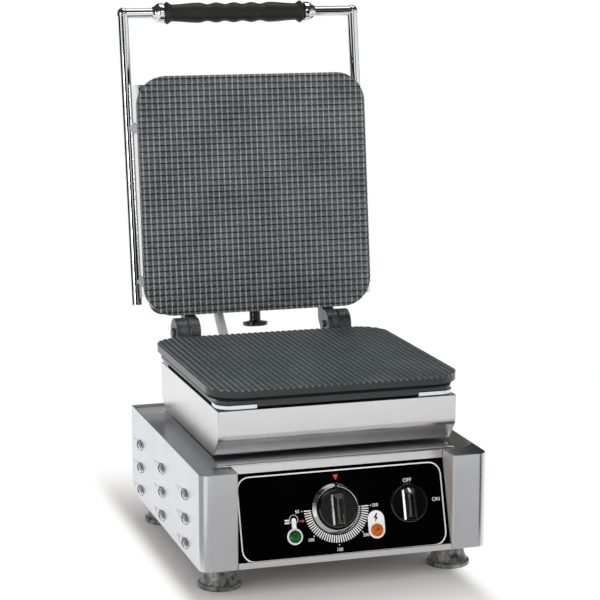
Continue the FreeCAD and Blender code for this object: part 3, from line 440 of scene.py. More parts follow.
# The conduit is painted near white and hardly metallic: painted light for a steel tube that stands in shade,
# with lines along it
finish("steel_conduit", "drawn_steel_tube_painted_bright", ("#f0f0f0", "#f8f8f8"), 1.5, 30, (0.22, 0.34), 0.01, (1, 1, 0.05),
       {"Metallic": 0.1})
# Heat has turned the sheath of the heating elements a dull brown grey
finish("heater_sheath", "heat_blued_steel_sheath", ("#5d564f", "#7d746a"), 2, 25, (0.35, 0.5), 0.02,
       sockets=METAL)
# The sensor's bulb is soft red copper
finish("copper_bulb", "drawn_copper", ("#9a5a3c", "#c07a55"), 2, 20, (0.25, 0.4), 0.01, sockets=METAL)
print("metals:", sorted(finishes))

# %% [markdown]
# The plates are cast iron, ground and seasoned by baking oil, bare dark grey on top of the pads and with a
# dark casting skin on their sides. Light and shade are painted in as well: bright painted highlight lines
# along the grooves that run front to back, painted shade in the black cross grooves, and a painted shadow on
# the rib behind. One material could be painted by hand; here two attributes of the mesh say where each look
# goes. The casting's grain of about half a millimetre is drawn at 1.4 mm so that it shows.

# %% Iron of the plates, with painted shade and highlight lines
SKIN_AND_GROOVE_SHADE = "#161a1c"
# Dark skin colour: casting skin on the plate's sides and painted shade in the cross grooves; then the painted
# highlight colour of the lines along the other grooves
PAINTED_GLINT = "#eff2f3"
SKIN_GLOSS = 0.2
BARE_METAL = 0.9
# Share of a painted highlight line that shows everywhere, and what the grain adds to it
GLINT_LEAST = 0.45
GLINT_BY_GRAIN = 0.8
# Share of the metal's mirror that a painted highlight line loses
GLINT_DULLS = 0.5
CASTING_SHEEN = {"Specular IOR Level": 0.6}


def paint_shade_and_glints(material):
    """Bare iron on the pads, painted highlight lines along one set of grooves, and the dark skin colour
    elsewhere: painted shade in the cross grooves, casting skin on the sides.
    """
    tree = material.node_tree
    shader = tree.nodes["Principled BSDF"]
    iron = shader.inputs["Base Color"].links[0].from_socket
    grain = iron.node.inputs["Fac"].links[0].from_socket
    dull = shader.inputs["Roughness"].links[0].from_socket
    worn = add_node(tree, "ShaderNodeAttribute", attribute_name="worn").outputs["Fac"]
    scraped = add_node(tree, "ShaderNodeAttribute", attribute_name="scraped").outputs["Fac"]
    bare_or_groove_shade = add_node(tree, MIX, {"Color1": linear(SKIN_AND_GROOVE_SHADE)}, {"Fac": worn, "Color2": iron}).outputs["Color"]
    broken = add_node(tree, MATH, {1: GLINT_BY_GRAIN, 2: GLINT_LEAST}, {0: grain},
                      operation="MULTIPLY_ADD").outputs[0]
    patchy = add_node(tree, MATH, links={0: scraped, 1: broken}, operation="MULTIPLY", use_clamp=True)
    glint_lines = add_node(tree, MIX, {"Color2": linear(PAINTED_GLINT)}, {"Fac": patchy, "Color1": bare_or_groove_shade}).outputs["Color"]
    smooth = add_node(tree, MATH, {1: -GLINT_DULLS, 2: 1.0}, {0: scraped}, operation="MULTIPLY_ADD")
    ground = add_node(tree, MATH, links={0: worn, 1: smooth}, operation="MULTIPLY")
    sheen = add_node(tree, RANGE, {"To Min": SKIN_GLOSS}, {"Value": worn, "To Max": dull}).outputs["Result"]
    metal = add_node(tree, MATH, {1: BARE_METAL}, {0: ground}, operation="MULTIPLY").outputs[0]
    tree.links.new(sheen, shader.inputs["Roughness"])
    tree.links.new(glint_lines, shader.inputs["Base Color"])
    tree.links.new(metal, shader.inputs["Metallic"])
    return material


def plate_iron(name, tones):
    """Cast iron of a baking plate in the tones given, with its painted shade and highlight lines."""
    return paint_shade_and_glints(finish("cast_iron_plate", name, tones, 1.4, 45, (0.34, 0.44), 0.12, patchy=0.25,
                            sockets=CASTING_SHEEN))


# One cast iron in two tones: the upper plate painted lighter and greyer, the lower one darker, as painted
# light and shade
upper_iron_painted_lighter = plate_iron("cast_iron_upper_painted_light", ("#596164", "#969c9e"))
lower_iron_painted_darker = plate_iron("cast_iron_lower_painted_shade", ("#333e43", "#707b80"))
# Near black painted shadow for the rib behind the plate, so it reads as a gap there
rib_painted_shade = finish("cast_iron_plate", "rib_painted_shadow", ("#060707", "#0c0d0d"), 1.6, 30, (0.85, 0.95))
print("plate finishes:", upper_iron_painted_lighter.name, lower_iron_painted_darker.name, rib_painted_shade.name)

# %% [markdown]
# The slabs behind the plates are black iron, the hinge lugs are a casting painted black, and the feet are
# rough die castings, mottled light and dark. Sand casting leaves a grain of about half a millimetre,
# drawn here at 1.6 mm and more so that it shows.

# %% Other castings
# Black iron with a soft sheen
finish("cast_iron_slab", "black_cast_iron", ("#1b2022", "#2c3133"), 1.6, 35, (0.2, 0.3), 0.03,
       sockets=CASTING_SHEEN)
# Black paint worn to grey in patches
finish("black_casting", "black_painted_casting", ("#2c2f2f", "#7a7e7f"), 1.8, 14, (0.3, 0.45), 0.12,
       sockets={"Metallic": 0.7})
# The rest foot is turned and polished, so it is deep black with a clear glint
polished_stud = finish("black_casting", "polished_black_stud", ("#101010", "#1e1e1e"), 2.0, 15, (0.12, 0.2),
                       sockets={"Specular IOR Level": 1.0})
# Die-cast zinc left as it came from the mould: cloudy, with pits that break the highlight
finish("cast_feet", "rough_die_cast_zinc", ("#4d4e4d", "#a9aaa8"), 5, 7, (0.35, 0.55), 0.25,
       sockets={"Metallic": 0.85})
print("slots so far:", len(finishes))

# %% [markdown]
# The grip and knobs are black phenolic, pressed in moulds: the knobs' mould is polished and the grip's is
# not. The panel is black enamelled sheet under a satin lacquer, printed in white and red. The lenses are
# coloured acrylic; a clear coat stands for their polished face.

# %% Plastics, panel and lenses
# A satin grip: soft broad highlights on near black
finish("black_grip", "pressed_phenolic_grip", ("#262625", "#2d2d2c"), 2.5, 30, (0.40, 0.46),
       sockets={"Specular IOR Level": 0.25})
# Glossy knobs mirror the strip lamp as white streaks
finish("black_knob", "pressed_phenolic_knob", ("#060606", "#0e0e0e"), 2.0, 20, (0.06, 0.10),
       sockets={"Specular IOR Level": 1.0})
# The panel stays black from every side
finish("black_panel", "black_enamelled_panel", ("#000000", "#020202"), 2.0, 60, (0.45, 0.5),
       sockets={"Specular IOR Level": 0.02})
# Moulded nylon is dull black with a faint grain
finish("control_unit", "glass_filled_nylon", ("#20211f", "#343531"), 2.0, 15, (0.5, 0.6), 0.03)
finish("gland_plastic", "moulded_nylon_gland", ("#151515", "#262626"), 2.0, 15, (0.38, 0.5), 0.03)
# Glazed porcelain is cream and shiny
finish("terminal_porcelain", "glazed_porcelain", ("#d9d5c9", "#ebe8de"), 2.0, 12, (0.15, 0.25))
# Mineral wool is a matt yellow-green felt with its fibres lying flat
finish("mineral_wool", "mineral_wool_batt", ("#8d8a5f", "#b5b184"), 3.0, 25, (0.9, 1.0), 0.6, (1, 1, 4))
# Dark and light clouds of one colour under a clear face
CLEAR_FACE = {"Coat Weight": 0.3, "Coat Roughness": 0.05, "Specular IOR Level": 0.3}
for colour, tones in (("green", ("#01240e", "#076a30")), ("orange", ("#9a3a06", "#e47c1a"))):
    finish(colour + "_lens", colour + "_acrylic_lens", tones, 5.0, 6, (0.12, 0.2), 0.05, sockets=CLEAR_FACE)
# Ink lies flat and matt on the enamel
white_ink = finish("white_ink", "white_screen_print", ("#efefee", "#fbfbfa"), 1.5, 20, (0.45, 0.55))
red_ink = finish("red_ink", "red_screen_print", ("#d8262c", "#ee3b3c"), 1.5, 20, (0.45, 0.55))
print("slots with a finish:", len(finishes))

# %% [markdown]
# Most sheet and cast pieces already have their right shape in the frame, but their edges are knife sharp.
# A real folded or cast edge has a small radius that catches the light. Such a piece is copied, its
# triangles are merged into whole faces, and a Bevel modifier rounds the edges that are sharper than the
# fold of a curve.

# %% Showing and easing pieces
WELD = 0.002 * MM
FLAT = math.radians(0.6)
CREASE = 38
EASED_STEPS = 2
FULL_WEIGHT = 100


def mesh_of(name, shape):
    """Plain mesh of a shape that was being built."""
    mesh = bpy.data.meshes.new(name)
    shape.to_mesh(mesh)
    shape.free()
    return mesh


def dress(name, mesh, material, crease=CREASE, second=None):
    """Shows a mesh in one finish or two, smooth between creases of that many degrees."""
    mesh.materials.clear()
    mesh.materials.append(material)
    if second:
        mesh.materials.append(second)
    mesh.shade_smooth()
    mesh.set_sharp_from_angle(angle=math.radians(crease))
    return show(name, mesh)


def add_piece(name, mesh, material, body, nodes=(), crease=CREASE, second=None):
    """Shows a piece that rides on its body, stands for its nodes and takes its finish from a slot."""
    piece = dress(name, mesh, material, crease, second)
    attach(piece, body)
    if nodes:
        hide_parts(*nodes)
    return piece


def even_normals(piece):
    """Keeps a flat face flat in the light, right up to its rounded edge."""
    even = piece.modifiers.new("even_normals", "WEIGHTED_NORMAL")
    even.weight = FULL_WEIGHT
    even.keep_sharp = True


def eased(node, slot, edge_mm, material=None):
    """Copy of a frame piece with its sharp edges rounded."""
    source = frame["nodes"][node]
    shape = bmesh.new()
    shape.from_mesh(source.data)
    bmesh.ops.remove_doubles(shape, verts=shape.verts, dist=WELD)
    bmesh.ops.dissolve_limit(shape, angle_limit=FLAT, verts=shape.verts, edges=shape.edges)
    mesh = mesh_of(node + "_eased", shape)
    piece = add_piece(node + "_eased", mesh, material or finishes[slot], source["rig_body"], [node])
    bevel = piece.modifiers.new("eased_edges", "BEVEL")
    bevel.width = edge_mm * MM
    bevel.segments = EASED_STEPS
    bevel.limit_method = "ANGLE"
    bevel.angle_limit = math.radians(CREASE)
    even_normals(piece)
    return piece


print("edges sharper than", CREASE, "degrees get eased")

# %% [markdown]
# Folded sheet has edges of about half a millimetre, castings of one. The side panels, the floor and the rear
# panel have other finishes on their inner faces, which are picked by the way that they face; some of them
# carry a painted glow that stands for the light from the vents.

# %% Eased sheet and castings
EASED = (("hood", "brushed_stainless", 0.7), ("base_floor", "brushed_stainless", 0.4),
         ("rear_panel", "brushed_stainless", 0.4), ("control_panel", "black_panel", 0.3),
         ("lower_casing", "brushed_stainless", 0.6), ("upper_casing", "brushed_stainless", 0.6),
         ("lower_slab", "cast_iron_slab", 0.8), ("upper_slab", "cast_iron_slab", 0.8),
         ("lower_corner_clips", "zinc_fasteners", 0.7), ("upper_corner_clips", "zinc_fasteners", 0.7),
         ("lower_lug_left", "black_casting", 1.0), ("lower_lug_right", "black_casting", 1.0),
         ("lid_lug_left", "black_casting", 1.0), ("lid_lug_right", "black_casting", 1.0),
         ("hinge_pin_left", "black_casting", 1.0), ("hinge_pin_right", "black_casting", 1.0),
         ("casing_spacers", "zinc_fasteners", 0.4), ("conduit_nut_lower", "zinc_fasteners", 0.5),
         ("conduit_nut_upper", "zinc_fasteners", 0.5), ("mains_gland", "gland_plastic", 0.5))
SADDLE_EDGE = 0.3
SIDE_EDGE = 0.4
INSIDE_FROM = -165 * MM
INSIDE_TOP = 112 * MM
# How far a face's normal leans the way that is asked for
A_LITTLE = 0.1
HALF_WAY = 0.5
MOSTLY = 0.75

for node, slot, edge_mm in EASED:
    eased(node, slot, edge_mm)
eased("handle_saddles", "chrome", SADDLE_EDGE, saddle_painted_pale)
for side, inward_x in (("left", 1), ("right", -1)):
    panel = eased("side_panel_" + side, "brushed_stainless", SIDE_EDGE, sides_brushed_painted_darker).data
    panel.materials.append(unlit_inside)
    panel.materials.append(painted_glow_sill)
    # Inner faces take the plain inside finish; the upward ones low down take the painted vent glow
    for face in panel.polygons:
        takes_vent_glow = face.normal.z > MOSTLY and face.center.z < INSIDE_TOP
        if face.normal.x * inward_x > A_LITTLE or face.normal.y > HALF_WAY:
            face.material_index = 2 if takes_vent_glow else 1
for node in ("base_floor", "rear_panel"):
    sheet = bpy.data.objects[node + "_eased"].data
    sheet.materials.append(painted_half_glow)
    # Inner faces that face up or forward take the weaker painted glow
    for face in sheet.polygons:
        inside = face.center.y > INSIDE_FROM and face.center.z < INSIDE_TOP
        if inside and (face.normal.z > HALF_WAY or face.normal.y < -HALF_WAY):
            face.material_index = 1

# %% [markdown]
# Pieces hidden inside the casings and the cabinet, such as the heaters and the wool, keep their frame
# shape. Nobody sees them, so they only get their true finish.

# %% Finishes of the hidden pieces
HIDDEN = {"heater_sheath": ("lower_heating_element", "upper_heating_element"),
          "mineral_wool": ("lower_insulation", "upper_insulation"), "copper_bulb": ("sensor_bulb",),
          "zinc_fasteners": ("sensor_clamp", "handle_bolts", "thermostat_shaft", "switch_shaft"),
          "control_unit": ("thermostat_body", "switch_body"), "terminal_porcelain": ("terminal_block",)}

for slot, nodes in HIDDEN.items():
    for node in nodes:
        frame["nodes"][node].data.materials.clear()
        frame["nodes"][node].data.materials.append(finishes[slot])
print("hidden pieces:", sum(len(nodes) for nodes in HIDDEN.values()))

# %% [markdown]
# Geometry Nodes make what follows a rule: the waffle grid, the bent tube, the dial's ticks and the
# screws. A tree is built here with named inputs, run once on a scratch object, and its result is kept as
# a plain mesh, because the finished model holds meshes only. Realize Instances and Set Material close
# every tree.

# %% Running a geometry tree
NUMBER = "NodeSocketFloat"
COUNT = "NodeSocketInt"
MESH = "NodeSocketGeometry"


def start_tree(name, inputs):
    """New geometry tree; returns it and the outputs of its group input by name."""
    tree = bpy.data.node_groups.new(name, "GeometryNodeTree")
    for label, kind in inputs + [("Material", "NodeSocketMaterial")]:
        tree.interface.new_socket(label, in_out="INPUT", socket_type=kind)
    tree.interface.new_socket("Geometry", in_out="OUTPUT", socket_type=MESH)
    return tree, add_node(tree, "NodeGroupInput").outputs


def end_tree(tree, given, geometry):
    """Closes a tree: real geometry in its material."""
    solid = add_node(tree, "GeometryNodeRealizeInstances", links={"Geometry": geometry})
    dressed = add_node(tree, "GeometryNodeSetMaterial",
                       links={"Geometry": solid, "Material": given["Material"]})
    add_node(tree, "NodeGroupOutput", links={"Geometry": dressed})


def outward(mesh):
    """Merges a closed mesh's doubles and turns its faces outwards."""
    shape = bmesh.new()
    shape.from_mesh(mesh)
    bmesh.ops.remove_doubles(shape, verts=shape.verts, dist=WELD)
    bmesh.ops.recalc_face_normals(shape, faces=shape.faces)
    shape.to_mesh(mesh)
    shape.free()
    return mesh


def settled(scratch):
    """Plain mesh of a scratch object with its modifier worked in; the object goes."""
    graph = bpy.context.evaluated_depsgraph_get()
    mesh = bpy.data.meshes.new_from_object(scratch.evaluated_get(graph), depsgraph=graph)
    bpy.data.objects.remove(scratch)
    return mesh


def grow(tree, values, start=None):
    """Plain mesh that a tree makes from its named inputs and a starting mesh."""
    scratch = show("scratch", start or bpy.data.meshes.new("scratch"))
    modifier = scratch.modifiers.new("grow", "NODES")
    modifier.node_group = tree
    for socket in tree.interface.items_tree:
        if socket.in_out == "INPUT" and socket.name in values:
            modifier[socket.identifier] = values[socket.name]
    return outward(settled(scratch))


print("geometry tree runner ready")

# %% [markdown]
# The baking face is a field of flat square pads parted by narrow grooves, cut off by the plate's rounded
# corners. It could be an array of pads cut by a boolean, but a height field is cleaner: a grid is drawn
# together towards each groove, sunk along it, trimmed at the corners, and its edge is pulled down to make
# the plate's side. First come the pads: the grid is counted in cells, so a point's distance from its
# groove is plain arithmetic.

# %% Pads and grooves
STEPS_PER_CELL = 6
GROOVE_TIGHTNESS = 0.54
GROOVE_ROUND = 1.5
HALF_CELL = (0.5, 0.5, 0)
WHOLE_CELL = (1, 1, 0)
TWICE = (2, 2, 0)


def pad_fields(tree, given, place):
    """Distance from the nearest groove, in cells on both axes, and each point's place once drawn to it."""
    half_on = add_node(tree, VECTOR, {1: HALF_CELL}, {0: place}, operation="ADD")
    one_on = add_node(tree, VECTOR, {1: WHOLE_CELL}, {0: place}, operation="ADD")
    groove = add_node(tree, VECTOR, links={0: one_on}, operation="FLOOR")
    off = add_node(tree, VECTOR, links={0: half_on, 1: groove}, operation="SUBTRACT")
    near = add_node(tree, VECTOR, links={0: off}, operation="ABSOLUTE")
    # The sixth power of the distance draws lines to the groove and leaves the pad's middle line in place
    twice = add_node(tree, VECTOR, {1: TWICE}, {0: near}, operation="MULTIPLY")
    square = add_node(tree, VECTOR, links={0: twice, 1: twice}, operation="MULTIPLY")
    fourth = add_node(tree, VECTOR, links={0: square, 1: square}, operation="MULTIPLY")
    sixth = add_node(tree, VECTOR, links={0: fourth, 1: square}, operation="MULTIPLY")
    tight = (GROOVE_TIGHTNESS, GROOVE_TIGHTNESS, 0)
    free = (1 - GROOVE_TIGHTNESS, 1 - GROOVE_TIGHTNESS, 0)
    scale = add_node(tree, VECTOR, {1: free, 2: tight}, {0: sixth}, operation="MULTIPLY_ADD")
    drawn = add_node(tree, VECTOR, links={0: off, 1: scale, 2: groove}, operation="MULTIPLY_ADD")
    centred = add_node(tree, VECTOR, {1: HALF_CELL}, {0: drawn}, operation="SUBTRACT")
    pitch_x = add_node(tree, MATH, links={0: given["Width"], 1: given["Cells"]}, operation="DIVIDE")
    pitch_y = add_node(tree, MATH, links={0: given["Depth"], 1: given["Cells"]}, operation="DIVIDE")
    pitch = add_node(tree, JOIN_XYZ, links={"X": pitch_x, "Y": pitch_y})
    flat = add_node(tree, VECTOR, links={0: centred, 1: pitch}, operation="MULTIPLY")
    return add_node(tree, SPLIT_XYZ, links={0: near}).outputs, flat


def groove_height(tree, given, near):
    """Height of the face: level on the pads, sunk along the grooves."""
    nearest = add_node(tree, MATH, links={0: near["X"], 1: near["Y"]}, operation="MINIMUM")
    slope = add_node(tree, MATH, {1: -STEPS_PER_CELL / 2, 2: 1.0}, {0: nearest}, operation="MULTIPLY_ADD",
                     use_clamp=True)
    bowl = add_node(tree, MATH, {1: GROOVE_ROUND}, {0: slope}, operation="POWER")
    sunk = add_node(tree, MATH, links={0: bowl, 1: given["Groove"]}, operation="MULTIPLY")
    return add_node(tree, MATH, {1: -1.0}, {0: sunk}, operation="MULTIPLY")


print("pads:", STEPS_PER_CELL, "grid steps to a cell")

# %% [markdown]
# The plate's corners are round. Cutting the grid there would leave a ragged edge, so every point that lies
# past the corner's arc is drawn back onto it, and faces that lie wholly past it are deleted. The pads' tops
# are bare iron, the cross grooves take painted shade, and lines along the other grooves take a painted
# highlight; both are kept as attributes.

# %% Corners, painted shade and highlight lines
# A corner counts 1 past the arc and 0 inside it; a face whose corners' mean is above this is wholly past it
WHOLLY = 0.99
# How strongly the painted highlight lines show in the shaded grooves and on the pads
GLINT_FAINT = 0.2
GLINT_ON_PADS = 0.6


def corner_fields(tree, given, flat):
    """Each point's place once it is drawn back onto the corner's arc, and whether it lay past it."""
    corner = given["Corner"]
    size = add_node(tree, JOIN_XYZ, links={"X": given["Width"], "Y": given["Depth"]})
    half = add_node(tree, VECTOR, {"Scale": 0.5}, {0: size}, operation="SCALE")
    round_off = add_node(tree, JOIN_XYZ, links={"X": corner, "Y": corner})
    core = add_node(tree, VECTOR, links={0: half, 1: round_off}, operation="SUBTRACT")
    reach = add_node(tree, VECTOR, links={0: flat}, operation="ABSOLUTE")
    past = add_node(tree, VECTOR, links={0: reach, 1: core}, operation="SUBTRACT")
    over = add_node(tree, VECTOR, {1: (0, 0, 0)}, {0: past}, operation="MAXIMUM")
    length = add_node(tree, VECTOR, links={0: over}, operation="LENGTH").outputs["Value"]
    keep = add_node(tree, MATH, links={0: corner, 1: length}, operation="DIVIDE")
    excess = add_node(tree, MATH, {0: 1.0}, {1: keep}, operation="SUBTRACT", use_clamp=True)
    cut = add_node(tree, VECTOR, links={0: over, "Scale": excess}, operation="SCALE")
    kept = add_node(tree, VECTOR, links={0: reach, 1: cut}, operation="SUBTRACT")
    ratio = add_node(tree, VECTOR, links={0: kept, 1: reach}, operation="DIVIDE")
    trimmed = add_node(tree, VECTOR, links={0: flat, 1: ratio}, operation="MULTIPLY")
    outside = add_node(tree, MATH, links={0: length, 1: corner}, operation="GREATER_THAN")
    at_points = add_node(tree, "GeometryNodeFieldOnDomain", links={0: outside}, domain="POINT",
                         data_type="FLOAT")
    wholly = add_node(tree, MATH, {1: WHOLLY}, {0: at_points}, operation="GREATER_THAN")
    return add_node(tree, SPLIT_XYZ, links={0: trimmed}).outputs, wholly


def shade_and_glint_fields(tree, near):
    """How far each point is from the painted shade of the cross grooves, and how strongly it takes a painted
    highlight line.
    """
    worn = add_node(tree, RANGE, {"From Max": 2 / STEPS_PER_CELL}, {"Value": near["Y"]})
    glint_lines = add_node(tree, RANGE, {"From Min": 2 / STEPS_PER_CELL, "From Max": 0.0}, {"Value": near["X"]})
    dimmed = add_node(tree, MATH, {1: GLINT_ON_PADS, 2: GLINT_FAINT}, {0: worn}, operation="MULTIPLY_ADD")
    scraped = add_node(tree, MATH, links={0: glint_lines, 1: dimmed}, operation="MULTIPLY")
    return (("worn", worn), ("scraped", scraped))


print("corner and wear fields ready")

# %% [markdown]
# The side of the plate is the face's rim pulled straight down, with a narrow arris at the top that keeps
# the casting skin. Below it the plate steps in to a rib that meets the slab. Extruding the rim keeps the
# side in line with every groove, so the grooves' ends show along the edge as they do on the real plate.

# %% Side and back of the plate
ARRIS = 0.7 * MM
# An edge of the rim has one face, any other edge two
RIM_FACES_UNDER = 1.5


def plate_side(tree, given, face, place):
    """Side of the plate; returns its mesh, the loop at its foot, and the height of that loop."""
    count = add_node(tree, "GeometryNodeInputMeshEdgeNeighbors").outputs["Face Count"]
    rim = add_node(tree, MATH, {1: RIM_FACES_UNDER}, {0: count}, operation="LESS_THAN")
    plumb = add_node(tree, JOIN_XYZ, {"Z": -1.0})
    arris = add_node(tree, "GeometryNodeExtrudeMesh", {"Offset Scale": ARRIS},
                     {"Mesh": face, "Selection": rim, "Offset": plumb}, mode="EDGES").outputs
    skin = arris["Mesh"]
    # The arris gets the casting skin's dark colour and no painted highlight
    for label in ("worn", "scraped"):
        skin = add_node(tree, "GeometryNodeStoreNamedAttribute", {"Name": label, "Value": 0.0},
                        {"Geometry": skin, "Selection": arris["Top"]}, data_type="FLOAT", domain="POINT")
    wall = add_node(tree, "GeometryNodeExtrudeMesh", {"Offset Scale": MM},
                    {"Mesh": skin, "Selection": arris["Top"], "Offset": plumb}, mode="EDGES").outputs
    under = add_node(tree, MATH, {1: -1.0}, {0: given["Edge"]}, operation="MULTIPLY")
    ring = add_node(tree, SPLIT_XYZ, links={0: place}).outputs
    foot = add_node(tree, JOIN_XYZ, links={"X": ring["X"], "Y": ring["Y"], "Z": under})
    sides = add_node(tree, "GeometryNodeSetPosition",
                     links={"Geometry": wall["Mesh"], "Selection": wall["Top"], "Position": foot})
    return sides, wall["Top"], under


def plate_back(tree, given, sides, foot_loop, under):
    """Underside of the edge, and the rib drawn in all round below it."""
    loop = add_node(tree, "GeometryNodeMeshToCurve", links={"Mesh": sides, "Selection": foot_loop})
    back = add_node(tree, "GeometryNodeFillCurve", links={"Curve": loop}, mode="NGONS")
    down = add_node(tree, JOIN_XYZ, links={"Z": under})
    lowered = add_node(tree, "GeometryNodeTransform", links={"Geometry": back, "Translation": down})
    shelf = add_node(tree, "GeometryNodeExtrudeMesh", {"Offset Scale": 0.0, "Individual": False},
                     {"Mesh": lowered}, mode="FACES").outputs
    drawn_in = add_node(tree, "GeometryNodeScaleElements", links={
        "Geometry": shelf["Mesh"], "Selection": shelf["Top"], "Scale": given["Rib Share"]})
    plumb = add_node(tree, JOIN_XYZ, {"Z": -1.0})
    return add_node(tree, "GeometryNodeExtrudeMesh", {"Individual": False}, {
        "Mesh": drawn_in, "Selection": shelf["Top"], "Offset": plumb,
        "Offset Scale": given["Rib"]}, mode="FACES")


print("plate side ready, arris", ARRIS / MM, "mm")

# %% [markdown]
# Now the tree is put together, with the plate's sizes as its named inputs. The plate's outer size is read
# from the frame; the pads, the corner and the step to the rib are the casting's own.

# %% Waffle plate
GRID_CELLS = 40
PLATE_CORNER = 33.0 * MM
PLATE_EDGE = 8.0 * MM
PLATE_RIB_INSET = 3.3 * MM
GROOVE_DEPTH = 1.5 * MM


def waffle_tree():
    """Tree of a whole plate, face up, with its baking face at z = 0."""
    tree, given = start_tree("waffle_plate", [("Cells", COUNT)] + [(label, NUMBER) for label in (
        "Width", "Depth", "Corner", "Groove", "Edge", "Rib", "Rib Share")])
    lines = add_node(tree, MATH, {1: STEPS_PER_CELL, 2: 1.0}, {0: given["Cells"]}, operation="MULTIPLY_ADD")
    marked = add_node(tree, "GeometryNodeMeshGrid", links={
        "Size X": given["Cells"], "Size Y": given["Cells"], "Vertices X": lines, "Vertices Y": lines})
    place = add_node(tree, "GeometryNodeInputPosition")
    near, flat = pad_fields(tree, given, place)
    spot, outside = corner_fields(tree, given, flat)
    for label, value in shade_and_glint_fields(tree, near):
        marked = add_node(tree, "GeometryNodeStoreNamedAttribute", {"Name": label},
                          {"Geometry": marked, "Value": value}, data_type="FLOAT", domain="POINT")
    height = groove_height(tree, given, near)
    surface = add_node(tree, JOIN_XYZ, links={"X": spot["X"], "Y": spot["Y"], "Z": height})
    inside = add_node(tree, "GeometryNodeDeleteGeometry", links={"Geometry": marked, "Selection": outside},
                      domain="FACE")
    face = add_node(tree, "GeometryNodeSetPosition", links={"Geometry": inside, "Position": surface})
    sides, foot_loop, under = plate_side(tree, given, face, place)
    whole = add_node(tree, "GeometryNodeJoinGeometry")
    for part in (sides, plate_back(tree, given, sides, foot_loop, under)):
        tree.links.new(part.outputs[0], whole.inputs["Geometry"])
    end_tree(tree, given, whole)
    return tree


plate_low, plate_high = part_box("lower_plate")
plate_size = plate_high - plate_low
plate = grow(waffle_tree(), {"Cells": GRID_CELLS, "Width": plate_size.x, "Depth": plate_size.y,
                             "Corner": PLATE_CORNER, "Groove": GROOVE_DEPTH, "Edge": PLATE_EDGE,
                             "Rib": plate_size.z - PLATE_EDGE,
                             "Rib Share": 1 - 2 * PLATE_RIB_INSET / plate_size.x,
                             "Material": finishes["cast_iron_plate"]})
print("waffle plate:", len(plate.polygons), "faces, lowest", round(min(v.co.z for v in plate.vertices), 4))

# %% [markdown]
# The upper plate is the lower one turned over on the hinge. The hinge's place and its full swing are in the
# frame, so a point of the closed lid is carried to the open lid by one matrix, which the handle uses too. The
# rib behind each plate gets the second finish, a near black painted shadow under the plate's edge.

# %% Both plates
hinge = Vector(joints["lid_hinge"]["pos_m"])
swing = joints["lid_hinge"]["range_deg"][1]
LID_OPEN = Matrix.Translation(hinge) @ turn(-swing, "X")
BELOW_EDGE = 0.1 * MM
PLATE_CREASE = 50


def lid_place(x, reach, offset):
    """Place on the open lid, in mm: reach forward of the hinge and offset above it, as on the closed lid."""
    return LID_OPEN @ Matrix.Translation((x * MM, -reach * MM, offset * MM))


middle_y = (plate_low.y + plate_high.y) / 2
face_drop = hinge.z - plate_high.z
# Faces of the rib, which take the painted shadow
rib_faces = [face.index for face in plate.polygons if face.center.z < -PLATE_EDGE - BELOW_EDGE]
upper = plate.copy()
plate.transform(Matrix.Translation((0, middle_y, plate_high.z)))
upper.transform(LID_OPEN @ Matrix.Translation((0, middle_y - hinge.y, face_drop)) @ turn(180, "X"))
for level, mesh, iron, body in (("lower", plate, lower_iron_painted_darker, "base"), ("upper", upper, upper_iron_painted_lighter, "lid")):
    add_piece(level + "_waffle_plate", mesh, iron, body, [level + "_plate"], PLATE_CREASE,
              rib_painted_shade)
    for index in rib_faces:
        mesh.polygons[index].material_index = 1
print("plates placed, wafer gap", round(2 * face_drop / MM, 2), "mm")

# %% [markdown]
# The conduit carries the upper heater's wires from the cabinet to the lid, in a bent tube. A curve object with
# a round bevel would do, but Geometry Nodes can also round each corner by its own radius, kept as an attribute
# of the path's points, and space the rings evenly along it.

# %% Bent tube
TUBE_RINGS = 2.0
TUBE_SIDES = 40
BEND_STEPS = 24


def tube_tree():
    """Tree of a round tube along a path with rounded corners."""
    tree, given = start_tree("bent_tube", [("Geometry", MESH), ("Radius", NUMBER), ("Ring Spacing", NUMBER),
                                           ("Sides", COUNT)])
    line = add_node(tree, "GeometryNodeMeshToCurve", links={"Mesh": given["Geometry"]})
    bend = add_node(tree, "GeometryNodeInputNamedAttribute", {"Name": "bend"}, data_type="FLOAT")
    arcs = add_node(tree, "GeometryNodeFilletCurve", {"Count": BEND_STEPS},
                    {"Curve": line, "Radius": bend}, mode="POLY")
    even = add_node(tree, "GeometryNodeResampleCurve", links={"Curve": arcs, "Length": given["Ring Spacing"]},
                    mode="LENGTH")
    section = add_node(tree, "GeometryNodeCurvePrimitiveCircle",
                       links={"Radius": given["Radius"], "Resolution": given["Sides"]}, mode="RADIUS")
    tube = add_node(tree, "GeometryNodeCurveToMesh", {"Fill Caps": True},
                    {"Curve": even, "Profile Curve": section})
    end_tree(tree, given, tube)
    return tree


def bent_tube(points, bends, radius, material):
    """Round tube along straight runs, each corner with its own radius; points in metres, the rest in mm."""
    path = bpy.data.meshes.new("path")
    path.from_pydata(points, [(i, i + 1) for i in range(len(points) - 1)], [])
    radii = path.attributes.new("bend", "FLOAT", "POINT")
    radii.data.foreach_set("value", [bend * MM for bend in bends])
    return grow(tube_tree(), {"Radius": radius * MM, "Ring Spacing": TUBE_RINGS * MM, "Sides": TUBE_SIDES,
                              "Material": material}, path)


print("tubes: a ring every", TUBE_RINGS, "mm")

# %% [markdown]
# The conduit is held in a nut on the cabinet and in another on the lid, so it has to bend when the lid swings.
# Here it is built once, from the cabinet's nut to the open lid's, and rides on no body.

# %% Heater conduit
CONDUIT_RADIUS = 5.5
CONDUIT_OFFSET = 45.0
CONDUIT_REACHES = (33.8, 16.0)
CONDUIT_BENDS = (24.0, 38.0)
CONDUIT_KNEE_RISE = 35.0

